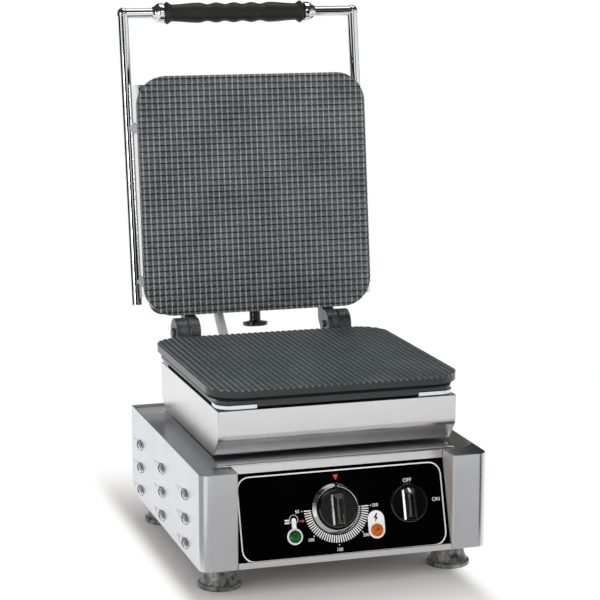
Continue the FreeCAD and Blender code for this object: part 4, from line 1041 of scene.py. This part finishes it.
nut_low, nut_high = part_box("conduit_nut_lower")
conduit_foot = Vector(((nut_low.x + nut_high.x) / 2, (nut_low.y + nut_high.y) / 2, nut_high.z))
conduit_x = conduit_foot.x / MM
conduit_points = [lid_place(conduit_x, reach, CONDUIT_OFFSET).translation for reach in CONDUIT_REACHES]
conduit_points += [conduit_foot + Vector((0, 0, CONDUIT_KNEE_RISE * MM)), conduit_foot]
conduit_mesh = bent_tube(conduit_points, (0, *CONDUIT_BENDS, 0), CONDUIT_RADIUS, finishes["steel_conduit"])
conduit = dress("heater_conduit_tube", conduit_mesh, finishes["steel_conduit"])
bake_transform(conduit)
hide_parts("heater_conduit")
print("conduit:", len(conduit_mesh.polygons), "faces")

# %% [markdown]
# Round pieces are turned from an outline, as on a lathe: the feet, the grip with its finger waves, the
# plated ferrules, the lenses, the dial's ring and the rest foot. Bending a cylinder would need many
# edits; an outline of a few points with rounded corners holds the whole shape.

# %% Turning on a lathe
ROUND_STEPS = 72
CORNER_STEPS = 5
ON_AXIS = 1e-6


def rounded(points, radii):
    """Open outline whose inner corners are rounded by their radii; 0 keeps a corner sharp."""
    outline = [points[0]]
    for before, corner, after, radius in zip(points, points[1:], points[2:], radii[1:]):
        here = Vector(corner)
        back = (Vector(before) - here).normalized()
        ahead = (Vector(after) - here).normalized()
        if radius == 0:
            outline.append(corner)
            continue
        half = back.angle(ahead) / 2
        centre = here + (back + ahead).normalized() * (radius / math.sin(half))
        start = here + back * (radius / math.tan(half)) - centre
        end = here + ahead * (radius / math.tan(half)) - centre
        sweep = start.angle_signed(end)
        for step in range(CORNER_STEPS + 1):
            angle = -sweep * step / CORNER_STEPS
            spun = Vector((start.x * math.cos(angle) - start.y * math.sin(angle),
                           start.x * math.sin(angle) + start.y * math.cos(angle)))
            outline.append(tuple(centre + spun))
    return outline + [points[-1]]


def turned(name, outline, place, closed=False):
    """Mesh turned about Z from (radius, height) points in mm, then put in its place."""
    shape = bmesh.new()
    rings = []
    for radius, height in outline:
        if radius < ON_AXIS:
            rings.append([shape.verts.new((0, 0, height * MM))] * ROUND_STEPS)
            continue
        ring = []
        for step in range(ROUND_STEPS):
            angle = 2 * math.pi * step / ROUND_STEPS
            spot = (radius * MM * math.cos(angle), radius * MM * math.sin(angle), height * MM)
            ring.append(shape.verts.new(spot))
        rings.append(ring)
    pairs = list(zip(rings, rings[1:]))
    if closed:
        pairs.append((rings[-1], rings[0]))
    for ring, following in pairs:
        for step in range(ROUND_STEPS):
            after = (step + 1) % ROUND_STEPS
            corners = [ring[step], ring[after], following[after], following[step]]
            shape.faces.new(list(dict.fromkeys(corners)))
    bmesh.ops.recalc_face_normals(shape, faces=shape.faces)
    mesh = mesh_of(name, shape)
    mesh.transform(place)
    return mesh


print("lathe:", ROUND_STEPS, "steps round")

# %% [markdown]
# The four feet are cast bells: a wide rim that stands on the counter, drawn in to a neck under the
# cabinet. Each stands where the frame has its plain foot.

# %% Feet
FOOT_HEIGHT = 26.0
FOOT_RIM = 22.0
FOOT_OUTLINE = ((0, 0), (21.2, 0), (FOOT_RIM, 1.0), (FOOT_RIM, 4.5), (19.6, 5.6), (16.6, 12.5), (15.6, 20),
                (15.4, FOOT_HEIGHT), (0, FOOT_HEIGHT))
FOOT_RADII = (0, 0.6, 0.6, 1.2, 3, 14, 10, 0, 0)

foot_outline = rounded(FOOT_OUTLINE, FOOT_RADII)
for node in ("foot_front_left", "foot_front_right", "foot_rear_left", "foot_rear_right"):
    low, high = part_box(node)
    stand = Matrix.Translation(((low.x + high.x) / 2, (low.y + high.y) / 2, 0))
    foot = turned(node + "_bell", foot_outline, stand)
    add_piece(node + "_bell", foot, finishes["cast_feet"], "base", [node])
print("feet:", len(foot_outline), "outline points each")

# %% [markdown]
# The grip is a phenolic tube on the handle's bar between two plated bells. Its ends are collars, its body
# swells in finger waves, which a cosine draws, and its bore is the rod's.

# %% Grip
ROD_RADIUS = 5.7
ROD_BAR = (355.2, 43.0)
GRIP_CENTRE = -6.5
GRIP_LENGTH = 164.0
GRIP_END = 9.0
GRIP_COLLAR = 12.8
GRIP_COLLAR_PEAK = 4.2
GRIP_COLLAR_WIDTH = 9.0
GRIP_BODY = 11.3
GRIP_NECK = 9.5
GRIP_NECK_RUN = 2
GRIP_WAVE = 1.8
GRIP_PITCH = 20.5
GRIP_WAVES_HALF = 2 * GRIP_PITCH
GRIP_CREASE = 60
COLLAR_RADII = (0, 0.6, 1.0, 2.5, 0)
ALONG_BAR = turn(90, "Y")


def grip_radius(from_middle):
    """Radius of the grip's body: waves in the middle, a taper to the neck at each end."""
    away = abs(from_middle)
    if away <= GRIP_WAVES_HALF:
        return GRIP_BODY - GRIP_WAVE * (0.5 - 0.5 * math.cos(2 * math.pi * away / GRIP_PITCH))
    share = (away - GRIP_WAVES_HALF) / (GRIP_LENGTH / 2 - GRIP_COLLAR_WIDTH - GRIP_WAVES_HALF)
    return GRIP_BODY + (GRIP_NECK - GRIP_BODY) * (0.5 - 0.5 * math.cos(math.pi * share))


grip_end = -GRIP_LENGTH / 2
body_end = GRIP_LENGTH / 2 - GRIP_COLLAR_WIDTH
collar = [(ROD_RADIUS, grip_end), (GRIP_END, grip_end), (GRIP_COLLAR, grip_end + GRIP_COLLAR_PEAK),
          (GRIP_NECK, -body_end), (GRIP_NECK, -body_end + GRIP_NECK_RUN)]
collar = rounded(collar, COLLAR_RADII)[:-1]
body_steps = [-body_end + GRIP_NECK_RUN + step for step in range(int(2 * (body_end - GRIP_NECK_RUN)) + 1)]
grip_outline = collar + [(grip_radius(along), along) for along in body_steps]
grip_outline += [(radius, -along) for radius, along in reversed(collar)]
bar_place = lid_place(GRIP_CENTRE, *ROD_BAR) @ ALONG_BAR
grip = turned("grip_waved", grip_outline, bar_place, closed=True)
add_piece("grip_waved", grip, finishes["black_grip"], "lid", ["grip"], GRIP_CREASE)
print("grip:", len(grip.polygons), "faces")

# %% [markdown]
# The ferrules hold the grip from both sides: small plated bells, the second one the first turned round.

# %% Ferrules
FERRULE = 13.0
BELL_OUTLINE = ((ROD_RADIUS, 0), (6.7, 0), (7.6, 2.5), (10.9, 7.0), (11.0, FERRULE), (ROD_RADIUS, FERRULE))
BELL_RADII = (0, 0.5, 3, 4, 0.8, 0)

bell = rounded(BELL_OUTLINE, BELL_RADII)
beside_grip = Matrix.Translation((0, 0, (grip_end - FERRULE) * MM))
for side, facing in (("left", Matrix()), ("right", turn(180, "Y"))):
    ferrule = turned("ferrule_bell_" + side, bell, bar_place @ facing @ beside_grip, closed=True)
    add_piece("ferrule_bell_" + side, ferrule, finishes["chrome"], "lid", ["ferrule_" + side])
print("ferrules: 2,", len(ferrule.polygons), "faces each")

# %% [markdown]
# The rod is welded from three straight lengths of bright bar, with the welds at the two corners dressed
# round. A bent tube would show wider corners than this, so each upright is turned with a ball at its top
# and the bar runs into both.

# %% Handle rod
ROD_HALF_SPAN = 134.4
ROD_LOW = (31.0, 31.0)
ROD_BALL = 6.6
ROD_CHAMFER = 0.5
BALL_STEPS = 12


def bar_outline(length, ball):
    """Outline of a bar along Z with a flat foot and a ball of the given radius at its far end."""
    start = math.asin(ROD_RADIUS / ball)
    swept = [start + (math.pi - start) * step / BALL_STEPS for step in range(BALL_STEPS)]
    head = [(ball * math.sin(angle), length - ball * math.cos(angle)) for angle in swept]
    return [(0, 0), (ROD_RADIUS - ROD_CHAMFER, 0), (ROD_RADIUS, ROD_CHAMFER)] + head + [(0, length + ball)]


rod_shape = bmesh.new()
for side in (-1, 1):
    foot_at = lid_place(side * ROD_HALF_SPAN, *ROD_LOW).translation
    head_at = lid_place(side * ROD_HALF_SPAN, *ROD_BAR).translation
    rising = head_at - foot_at
    stand = Matrix.Translation(foot_at) @ rising.to_track_quat("Z", "X").to_matrix().to_4x4()
    rod_shape.from_mesh(turned("upright", bar_outline(rising.length / MM, ROD_BALL), stand))
span = 2 * ROD_HALF_SPAN
across = lid_place(-ROD_HALF_SPAN, *ROD_BAR) @ ALONG_BAR
rod_shape.from_mesh(turned("bar", [(0, 0), (ROD_RADIUS, 0), (ROD_RADIUS, span), (0, span)], across))
rod = mesh_of("handle_rod_chromed", rod_shape)
add_piece("handle_rod_chromed", rod, finishes["chrome"], "lid", ["handle_rod"])
print("rod:", len(rod.polygons), "faces")

# %% [markdown]
# The controls sit on the leaning panel, so everything there is drawn in the panel's own frame: x to the
# right, y up the panel, z out of it, in millimetres. The frame's joint axis gives the lean.

# %% Panel frame
inward = Vector(joints["thermostat_turn"]["axis"])
panel_low, panel_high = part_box("control_panel")
panel_up = Vector((0, -inward.z, inward.y))
PANEL = Matrix((Vector((1, 0, 0)), panel_up, -inward)).transposed().to_4x4()
PANEL.translation = (0, panel_low.y, panel_low.z)
PANEL_HALF = panel_high.x / MM
PANEL_RISE = (panel_high.z - panel_low.z) / panel_up.z / MM


def on_panel(x, rise, out=0.0):
    """Place on the panel, in mm."""
    return PANEL @ Matrix.Translation((x * MM, rise * MM, out * MM))


def panel_spot(point):
    """Panel coordinates, in mm, of a point given in the frame."""
    local = PANEL.inverted() @ Vector(point)
    return local.x / MM, local.y / MM


thermostat_at = panel_spot(joints["thermostat_turn"]["pos_m"])
switch_at = panel_spot(joints["switch_turn"]["pos_m"])
lamp_at = {colour: panel_spot(sum(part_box(colour + "_lamp"), Vector()) / 2) for colour in ("green", "orange")}
print("panel:", round(PANEL_HALF * 2), "by", round(PANEL_RISE, 1), "mm")
print("dial at", [round(c, 1) for c in thermostat_at], "switch at", [round(c, 1) for c in switch_at])

# %% [markdown]
# The dial's ring is a plated cone that stands a little proud of the panel, so one flank of it is light
# and the other dark. The pilot lamps are low domes of coloured acrylic on a short barrel.

# %% Dial ring and lamp lenses
RING_INNER = 20.9
RING_OUTER = 25.3
RING_HEIGHT = 4.0
RING_CONE = 3.4
RING_FOOT = 0.6
RING_LIP = 0.4
RING_RADII = (0, 0, 0.4, 0.6, 0.4, 0)
LENS_RADIUS = 6.3
BARREL_RADIUS = 5.4
BARREL_END = -20
LENS_OUTLINE = ((0, BARREL_END), (BARREL_RADIUS, BARREL_END), (BARREL_RADIUS, -2.2), (BARREL_RADIUS, 0.0),
                (LENS_RADIUS, 0.0), (LENS_RADIUS, 1.4), (4.4, 3.3), (0, 3.8))
LENS_RADII = (0, 0.5, 0, 0, 0.2, 0.8, 3.5, 0)

ring_outline = ((RING_INNER, 0), (RING_OUTER, 0), (RING_OUTER, RING_FOOT),
                (RING_OUTER - RING_CONE, RING_HEIGHT), (RING_INNER, RING_HEIGHT - RING_LIP), (RING_INNER, 0))
ring_outline = rounded(ring_outline, RING_RADII)[:-1]
ring = turned("thermostat_ring", ring_outline, on_panel(*thermostat_at), closed=True)
even_normals(add_piece("thermostat_ring", ring, finishes["chrome"], "base", ["thermostat_bezel"]))
for colour, at in lamp_at.items():
    slot = colour + "_lens"
    lens_mesh = turned(slot, rounded(LENS_OUTLINE, LENS_RADII), on_panel(*at))
    add_piece(slot, lens_mesh, finishes[slot], "base", [colour + "_lamp"])
print("ring:", len(ring.polygons), "faces; lenses:", len(lamp_at))

# %% [markdown]
# A knob is a round disc with a tapered grip fin across it, all pressed in one piece. The fin's front end
# slopes down to the rim and carries the pointer on the switch; the thermostat's knob has a small nib that
# covers its ring. Narrow facets along the fin's top and foot catch the light as bright lines. The fin
# could be carved with a boolean, but eight corners hulled and bevelled give the same shape.

# %% Knobs
KNOB_LIFT = 0.5
KNOB_RADIUS = 20.3
KNOB_CROWN = 19.0
KNOB_SKIRT = 3.0
KNOB_DISC = 7.0
KNOB_HEIGHT = 15.5
KNOB_RADII = (0, 0.3, 0.8, 1.2, 0)
KNOB_CREASE = 30
# A section across the fin: its half width, and its ends along the fin
FIN_FOOT = (7.0, -18.6, 18.6)
FIN_TOP = (3.1, -13.9, 8.8)
FIN_START = 3.0
FIN_SHOULDER = 14.3
FIN_EDGE = 0.3
SKIRT_RISE = 1.6
SKIRT_SUNK = 0.5
SKIRT_EDGE = 0.1
FACET_SLOPE = math.tan(math.radians(41.5))
NIB = (1.3, 18.0, 25.6)
NIB_HEIGHTS = (5.4, 6.8)
NIB_EDGE = 0.3
EDGE_STEPS = 3


def block(shape, low, high, low_z, high_z, edge_mm):
    """Adds a tapered block to a shape; low and high are (half width, from y, to y) at the two heights."""
    corners = []
    for (half, near, far), z in ((low, low_z), (high, high_z)):
        for x, y in ((-half, near), (half, near), (half, far), (-half, far)):
            corners.append(shape.verts.new((x * MM, y * MM, z * MM)))
    hull = bmesh.ops.convex_hull(shape, input=corners)
    faces = [item for item in hull["geom"] if isinstance(item, bmesh.types.BMFace)]
    edges = list({edge for face in faces for edge in face.edges})
    bmesh.ops.dissolve_limit(shape, angle_limit=FLAT, verts=corners, edges=edges)
    edges = list({edge for corner in corners for edge in corner.link_edges})
    bmesh.ops.bevel(shape, geom=edges, offset=edge_mm * MM, segments=EDGE_STEPS, affect="EDGES", profile=0.5)


def widened(section, drop):
    """Section of the fin after its facet has gone down by a drop, in mm."""
    half, near, far = section
    return half + drop / FACET_SLOPE, near, far


def knob_mesh(name, at, nib):
    """Knob on its spot of the panel, with or without a nib."""
    outline = ((0, KNOB_LIFT), (KNOB_RADIUS, KNOB_LIFT), (KNOB_RADIUS, KNOB_SKIRT), (KNOB_CROWN, KNOB_DISC),
               (0, KNOB_DISC))
    shape = bmesh.new()
    shape.from_mesh(turned("knob_disc", rounded(outline, KNOB_RADII), Matrix()))
    block(shape, FIN_FOOT, FIN_TOP, FIN_START, FIN_SHOULDER, FIN_EDGE)
    ridge = widened(FIN_TOP, FIN_SHOULDER - KNOB_HEIGHT)
    block(shape, FIN_TOP, ridge, FIN_SHOULDER - FIN_EDGE, KNOB_HEIGHT, FIN_EDGE)
    share = (KNOB_DISC + SKIRT_RISE - FIN_START) / (FIN_SHOULDER - FIN_START)
    skirt = [foot + (top - foot) * share for foot, top in zip(FIN_FOOT, FIN_TOP)]
    skirt_foot = widened(skirt, SKIRT_RISE + SKIRT_SUNK)
    block(shape, skirt_foot, skirt, KNOB_DISC - SKIRT_SUNK, KNOB_DISC + SKIRT_RISE, SKIRT_EDGE)
    if nib:
        block(shape, NIB, NIB, *NIB_HEIGHTS, NIB_EDGE)
    bmesh.ops.recalc_face_normals(shape, faces=shape.faces)
    mesh = mesh_of(name, shape)
    mesh.transform(on_panel(*at))
    return mesh


for control, at, nib in (("thermostat", thermostat_at, True), ("switch", switch_at, False)):
    knob = knob_mesh(control + "_knob_pressed", at, nib)
    piece = add_piece(control + "_knob_pressed", knob, finishes["black_knob"], control + "_dial",
                      [control + "_knob"], KNOB_CREASE)
    even_normals(piece)
print("knobs: 2,", len(knob.polygons), "faces in the plain one")

# %% [markdown]
# The panel's marks are screen printed: a white border, a scale of ticks with round numbers, lamp signs,
# and the switch's two words. Ink is a film of a few hundredths of a millimetre; it is drawn a tenth thick
# so that it shows as its own surface. A printed picture would be simpler, but an outline stays sharp at
# any distance.

# %% Print helpers
INK = 0.12
CAPITAL_SHARE = 0.72
LETTER_WEIGHT = 0.03


def prism(shape, outline, place):
    """Adds a flat printed shape, its outline in mm, to a mesh being built."""
    top = [shape.verts.new(place @ Vector((x * MM, y * MM, INK * MM))) for x, y in outline]
    low = [shape.verts.new(place @ Vector((x * MM, y * MM, 0))) for x, y in outline]
    shape.faces.new(top)
    shape.faces.new(list(reversed(low)))
    for i in range(len(outline)):
        after = (i + 1) % len(outline)
        shape.faces.new([low[i], low[after], top[after], top[i]])


def band(shape, outer, inner, place):
    """Adds a closed printed line between two loops of equally many points."""
    loops = []
    for loop, rise in ((outer, 0), (outer, INK), (inner, INK), (inner, 0)):
        loops.append([shape.verts.new(place @ Vector((x * MM, y * MM, rise * MM))) for x, y in loop])
    for ring, following in zip(loops, loops[1:] + loops[:1]):
        for i in range(len(outer)):
            after = (i + 1) % len(outer)
            shape.faces.new([ring[i], ring[after], following[after], following[i]])


def rounded_box(half_width, low, high, radius):
    """Loop of a rectangle with rounded corners, from its half width and its two heights, in mm."""
    loop = [(0, low), (half_width, low), (half_width, high), (-half_width, high), (-half_width, low),
            (0, low)]
    return rounded(loop, (0, radius, radius, radius, radius, 0))[:-1]


def circle(radius, rise=0.0, steps=48):
    """Loop of a circle whose middle lies that far up, in mm."""
    angles = [2 * math.pi * step / steps for step in range(steps)]
    return [(radius * math.cos(angle), rise + radius * math.sin(angle)) for angle in angles]


def lettering(shape, text, height, place):
    """Adds a word in plain letters, centred on its place, capitals of the given height in mm."""
    curve = bpy.data.curves.new(text, "FONT")
    curve.body = text
    curve.size = height * MM / CAPITAL_SHARE
    curve.align_x = "CENTER"
    curve.align_y = "CENTER"
    curve.extrude = INK * MM / 2
    curve.offset = LETTER_WEIGHT * MM
    word = show(text, curve)
    mesh = bpy.data.meshes.new_from_object(word)
    bpy.data.objects.remove(word)
    mesh.transform(place @ Matrix.Translation((0, 0, INK * MM / 2)))
    shape.from_mesh(mesh)
    bpy.data.meshes.remove(mesh)


def print_piece(name, shape, ink, body="base"):
    """Shows a finished print in its ink."""
    bmesh.ops.recalc_face_normals(shape, faces=shape.faces)
    return add_piece(name, mesh_of(name, shape), ink, body)


print("print helpers ready, ink", INK, "mm")

# %% [markdown]
# A white line with rounded corners runs round the panel. The dial's numbers stand on a half circle below
# it, each with a dot, and the switch has its two words at the ends of its quarter turn.

# %% Border, words and numbers
BORDER_INSET = 3.4
BORDER_WIDTH = 1.3
BORDER_SHIFT = 0.8
BORDER_RADIUS = 13.0
SCALE_FROM = 180.0
SCALE_TO = 360.0
NUMBERS = ("50", "100", "150", "200", "250")
NUMBER_RADIUS = 41.0
NUMBER_HEIGHT = 3.2
DOTS_RADIUS = 36.2
DOT_RADIUS = 0.6
DOT_STEPS = 12
WORDS = (("OFF", 71.4, 71.5), ("ON", 100.6, 49.9))
WORD_HEIGHT = 3.9


def on_dial(radius, angle):
    """Place on the panel at a radius and an angle from the dial's middle."""
    return on_panel(thermostat_at[0] + radius * math.cos(angle), thermostat_at[1] + radius * math.sin(angle))


border = bmesh.new()
inner = BORDER_INSET + BORDER_WIDTH
border_half = PANEL_HALF - BORDER_SHIFT
band(border, rounded_box(border_half - BORDER_INSET, BORDER_INSET, PANEL_RISE - BORDER_INSET, BORDER_RADIUS),
     rounded_box(border_half - inner, inner, PANEL_RISE - inner, BORDER_RADIUS - BORDER_WIDTH),
     on_panel(BORDER_SHIFT, 0))
print_piece("panel_border_print", border, white_ink)

words = bmesh.new()
for text, x, rise in WORDS:
    lettering(words, text, WORD_HEIGHT, on_panel(x, rise))
for i, number in enumerate(NUMBERS):
    angle = math.radians(SCALE_FROM + (SCALE_TO - SCALE_FROM) * i / (len(NUMBERS) - 1))
    lettering(words, number, NUMBER_HEIGHT, on_dial(NUMBER_RADIUS, angle))
    prism(words, circle(DOT_RADIUS, steps=DOT_STEPS), on_dial(DOTS_RADIUS, angle))
print_piece("panel_words_print", words, white_ink)
print("printed words:", len(WORDS) + len(NUMBERS))

# %% [markdown]
# Lamp signs: the green lamp is the bulb of a thermometer, which means heating; the orange one sits in a
# white capsule with a lightning bolt, which means mains power. A red triangle shows where the dial is
# read, and a red arrow beside the dial points at it.

# %% Lamp signs
BULB_RING = 8.1
STEM_HALF = 2.3
STEM_LOW = 5.0
STEM_TOP = 18.5
# The ends are a little less than half circles, so that no two points of an outline meet
STEM_ROUND = 0.95 * STEM_HALF
HEAD_RISE = STEM_TOP - 1.5
HEAD_OUTER = 4.6
HEAD_INNER = 4.2
MARK_ENDS = (-9.4, -4.8)
MARK_LOWS = (13.2, 15.8)
MARK_HEIGHT = 1.5
CAPSULE_HALF = 8.8
CAPSULE_LOW = -8.6
CAPSULE_HIGH = 19.6
CAPSULE_ROUND = 0.98 * CAPSULE_HALF
BOLT = ((0.6, 16.8), (-2.6, 11.9), (-0.4, 12.2), (-1.4, 8.0), (2.4, 13.0), (0.2, 12.8), (2.0, 16.8))

signs = bmesh.new()
green_place = on_panel(*lamp_at["green"])
prism(signs, circle(BULB_RING), green_place)
prism(signs, rounded_box(STEM_HALF, STEM_LOW, STEM_TOP, STEM_ROUND), green_place)
band(signs, circle(HEAD_OUTER, HEAD_RISE), circle(HEAD_INNER, HEAD_RISE), green_place)
mark_from, mark_to = MARK_ENDS
for low in MARK_LOWS:
    high = low + MARK_HEIGHT
    prism(signs, [(mark_from, low), (mark_to, low), (mark_to, high), (mark_from, high)], green_place)
capsule = rounded_box(CAPSULE_HALF, CAPSULE_LOW, CAPSULE_HIGH, CAPSULE_ROUND)
prism(signs, capsule, on_panel(*lamp_at["orange"]))
print_piece("lamp_signs_print", signs, white_ink)

bolt = bmesh.new()
prism(bolt, BOLT, on_panel(*lamp_at["orange"], INK))
print_piece("bolt_print", bolt, finishes["black_panel"])
print("signs: thermometer, capsule and bolt")

# %% Red marks
READING_MARK = ((0, -3.0), (2.9, 2.6), (-2.9, 2.6))
READING_AT = (2, 31.2)
ARROW = ((-3.0, -0.5), (0.2, -0.5), (0.2, -1.7), (2.8, 0), (0.2, 1.7), (0.2, 0.5), (-3.0, 0.5))
ARROW_AT = (-36.8, -9.4)

marks = bmesh.new()
for outline, (x, rise) in ((READING_MARK, READING_AT), (ARROW, ARROW_AT)):
    prism(marks, outline, on_panel(thermostat_at[0] + x, thermostat_at[1] + rise))
print_piece("red_marks_print", marks, red_ink)
print("red marks: triangle and arrow")

# %% [markdown]
# The ticks repeat along an arc, so Geometry Nodes lay them out: as many points as ticks, each put on the
# arc by its index, and one thin bar copied to every point and turned to face the dial's middle.

# %% Dial ticks
TICKS = 41
TICK_RADIUS = 30.3
TICK_BAR = Vector((7.4, 1.1, INK))


def tick_tree():
    """Tree of bars along an arc about the origin."""
    tree, given = start_tree("dial_ticks", [("Count", COUNT), ("First Angle", NUMBER), ("Step", NUMBER),
                                            ("Radius", NUMBER), ("Bar", "NodeSocketVector")])
    points = add_node(tree, "GeometryNodePoints", links={"Count": given["Count"]})
    index = add_node(tree, "GeometryNodeInputIndex")
    angle = add_node(tree, MATH, links={0: index, 1: given["Step"], 2: given["First Angle"]},
                     operation="MULTIPLY_ADD")
    across = add_node(tree, MATH, links={0: angle}, operation="COSINE")
    up = add_node(tree, MATH, links={0: angle}, operation="SINE")
    way = add_node(tree, JOIN_XYZ, links={"X": across, "Y": up})
    spot = add_node(tree, VECTOR, links={0: way, "Scale": given["Radius"]}, operation="SCALE")
    placed = add_node(tree, "GeometryNodeSetPosition", links={"Geometry": points, "Position": spot})
    bar = add_node(tree, "GeometryNodeMeshCube", links={"Size": given["Bar"]})
    facing = add_node(tree, JOIN_XYZ, links={"Z": angle})
    ticks = add_node(tree, "GeometryNodeInstanceOnPoints",
                     links={"Points": placed, "Instance": bar, "Rotation": facing})
    end_tree(tree, given, ticks)
    return tree


tick_step = math.radians((SCALE_TO - SCALE_FROM) / (TICKS - 1))
ticks = grow(tick_tree(), {"Count": TICKS, "First Angle": math.radians(SCALE_FROM), "Step": tick_step,
                           "Radius": TICK_RADIUS * MM, "Bar": TICK_BAR * MM, "Material": white_ink})
ticks.transform(on_panel(*thermostat_at, INK / 2))
add_piece("dial_ticks_print", ticks, white_ink, "base")
print("ticks:", TICKS, "bars,", len(ticks.polygons), "faces")

# %% [markdown]
# The switch's pointer is a painted line on the sloping end of its fin. It turns with the knob, so it
# rides on the switch's own body.

# %% Switch pointer
POINTER_HALF = 1.1
POINTER_ENDS = (-4.6, 7.2)
POINTER_ROUND = 0.5

slope_run = FIN_FOOT[2] - FIN_TOP[2]
slope_angle = math.degrees(math.atan2(FIN_SHOULDER - FIN_START, slope_run))
slope_out = (FIN_SHOULDER + FIN_START) / 2
slope_rise = switch_at[1] + (FIN_FOOT[2] + FIN_TOP[2]) / 2
pointer = bmesh.new()
prism(pointer, rounded_box(POINTER_HALF, *POINTER_ENDS, POINTER_ROUND),
      on_panel(switch_at[0], slope_rise, slope_out) @ turn(-slope_angle, "X"))
print_piece("switch_pointer_print", pointer, white_ink, "switch_dial")
print("pointer on a slope of", round(slope_angle, 1), "degrees")

# %% [markdown]
# The lid leans back until its rest foot, a black stud with a round foot, comes near the deck. It is one
# turned piece, set on the lid's rear wall.

# %% Rest foot
REST_X = 2.0
REST_OFFSET = 33.0
REST_LENGTH = 38.8
REST_STUD = 6.3
REST_RIM = 14.2
REST_FACE = 12.8
REST_OUTLINE = ((0, 0), (REST_STUD, 0), (REST_STUD, REST_LENGTH - 6), (REST_RIM, REST_LENGTH - 4.6),
                (REST_RIM, REST_LENGTH - 1.2), (REST_FACE, REST_LENGTH), (0, REST_LENGTH))
REST_RADII = (0, 0.4, 1.2, 1.0, 0.8, 0.8, 0)

rest_place = lid_place(REST_X, REST_LENGTH, REST_OFFSET) @ turn(-90, "X")
rest = turned("rest_foot_stud", rounded(REST_OUTLINE, REST_RADII), rest_place)
add_piece("rest_foot_stud", rest, polished_stud, "lid", ["lid_rest_foot"])
print("rest foot:", len(rest.polygons), "faces")

# %% [markdown]
# The rear panel is held by four pan-head screws with a cross recess: one is modelled, its cross cut by a
# Boolean modifier, and Geometry Nodes set it out at four points.

# %% Rear screws
SCREW_OUTLINE = ((0, 0), (4.0, 0), (4.0, 1.1), (2.6, 2.5), (0, 2.5))
SCREW_RADII = (0, 0, 0.5, 1.2, 0)
SCREW_CREASE = 30
SCREW_SIDE = 138.0
SCREW_HEIGHTS = (38.0, 104.0)
CROSS_REACH = 2.2
CROSS_HALF = 0.45
CROSS_HEIGHTS = (1.2, 3.2)
CROSS_EDGE = 0.05


def screw_head():
    """Pan head with a cross recess, standing on z = 0."""
    head = show("screw_head", turned("screw_head", rounded(SCREW_OUTLINE, SCREW_RADII), Matrix()))
    cross = bmesh.new()
    for half_x, half_y in ((CROSS_REACH, CROSS_HALF), (CROSS_HALF, CROSS_REACH)):
        section = (half_x, -half_y, half_y)
        block(cross, section, section, *CROSS_HEIGHTS, CROSS_EDGE)
    cutter = show("screw_cross", mesh_of("screw_cross", cross))
    carve = head.modifiers.new("recess", "BOOLEAN")
    carve.object = cutter
    carve.use_self = True
    carved = settled(head)
    bpy.data.objects.remove(cutter)
    return carved


def set_out_tree():
    """Tree that copies a piece to every point."""
    tree, given = start_tree("set_out", [("Geometry", MESH), ("Piece", "NodeSocketObject"),
                                         ("Facing", "NodeSocketRotation")])
    piece = add_node(tree, "GeometryNodeObjectInfo", {"As Instance": True}, {"Object": given["Piece"]})
    copies = add_node(tree, "GeometryNodeInstanceOnPoints", links={
        "Points": given["Geometry"], "Instance": piece.outputs["Geometry"], "Rotation": given["Facing"]})
    end_tree(tree, given, copies.outputs["Instances"])
    return tree


screw_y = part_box("rear_screws")[0].y
corners = [(side * SCREW_SIDE * MM, screw_y, height * MM) for side in (-1, 1) for height in SCREW_HEIGHTS]
spots = bpy.data.meshes.new("screw_spots")
spots.from_pydata(corners, [], [])
sample = show("screw_sample", screw_head())
screws = grow(set_out_tree(), {"Piece": sample, "Facing": turn(-90, "X").to_euler(),
                               "Material": finishes["zinc_fasteners"]}, spots)
bpy.data.objects.remove(sample)
add_piece("rear_screws_pan_head", screws, finishes["zinc_fasteners"], "base",
          ["rear_screws"], SCREW_CREASE)
print("screws:", len(corners), "heads,", len(screws.polygons), "faces")
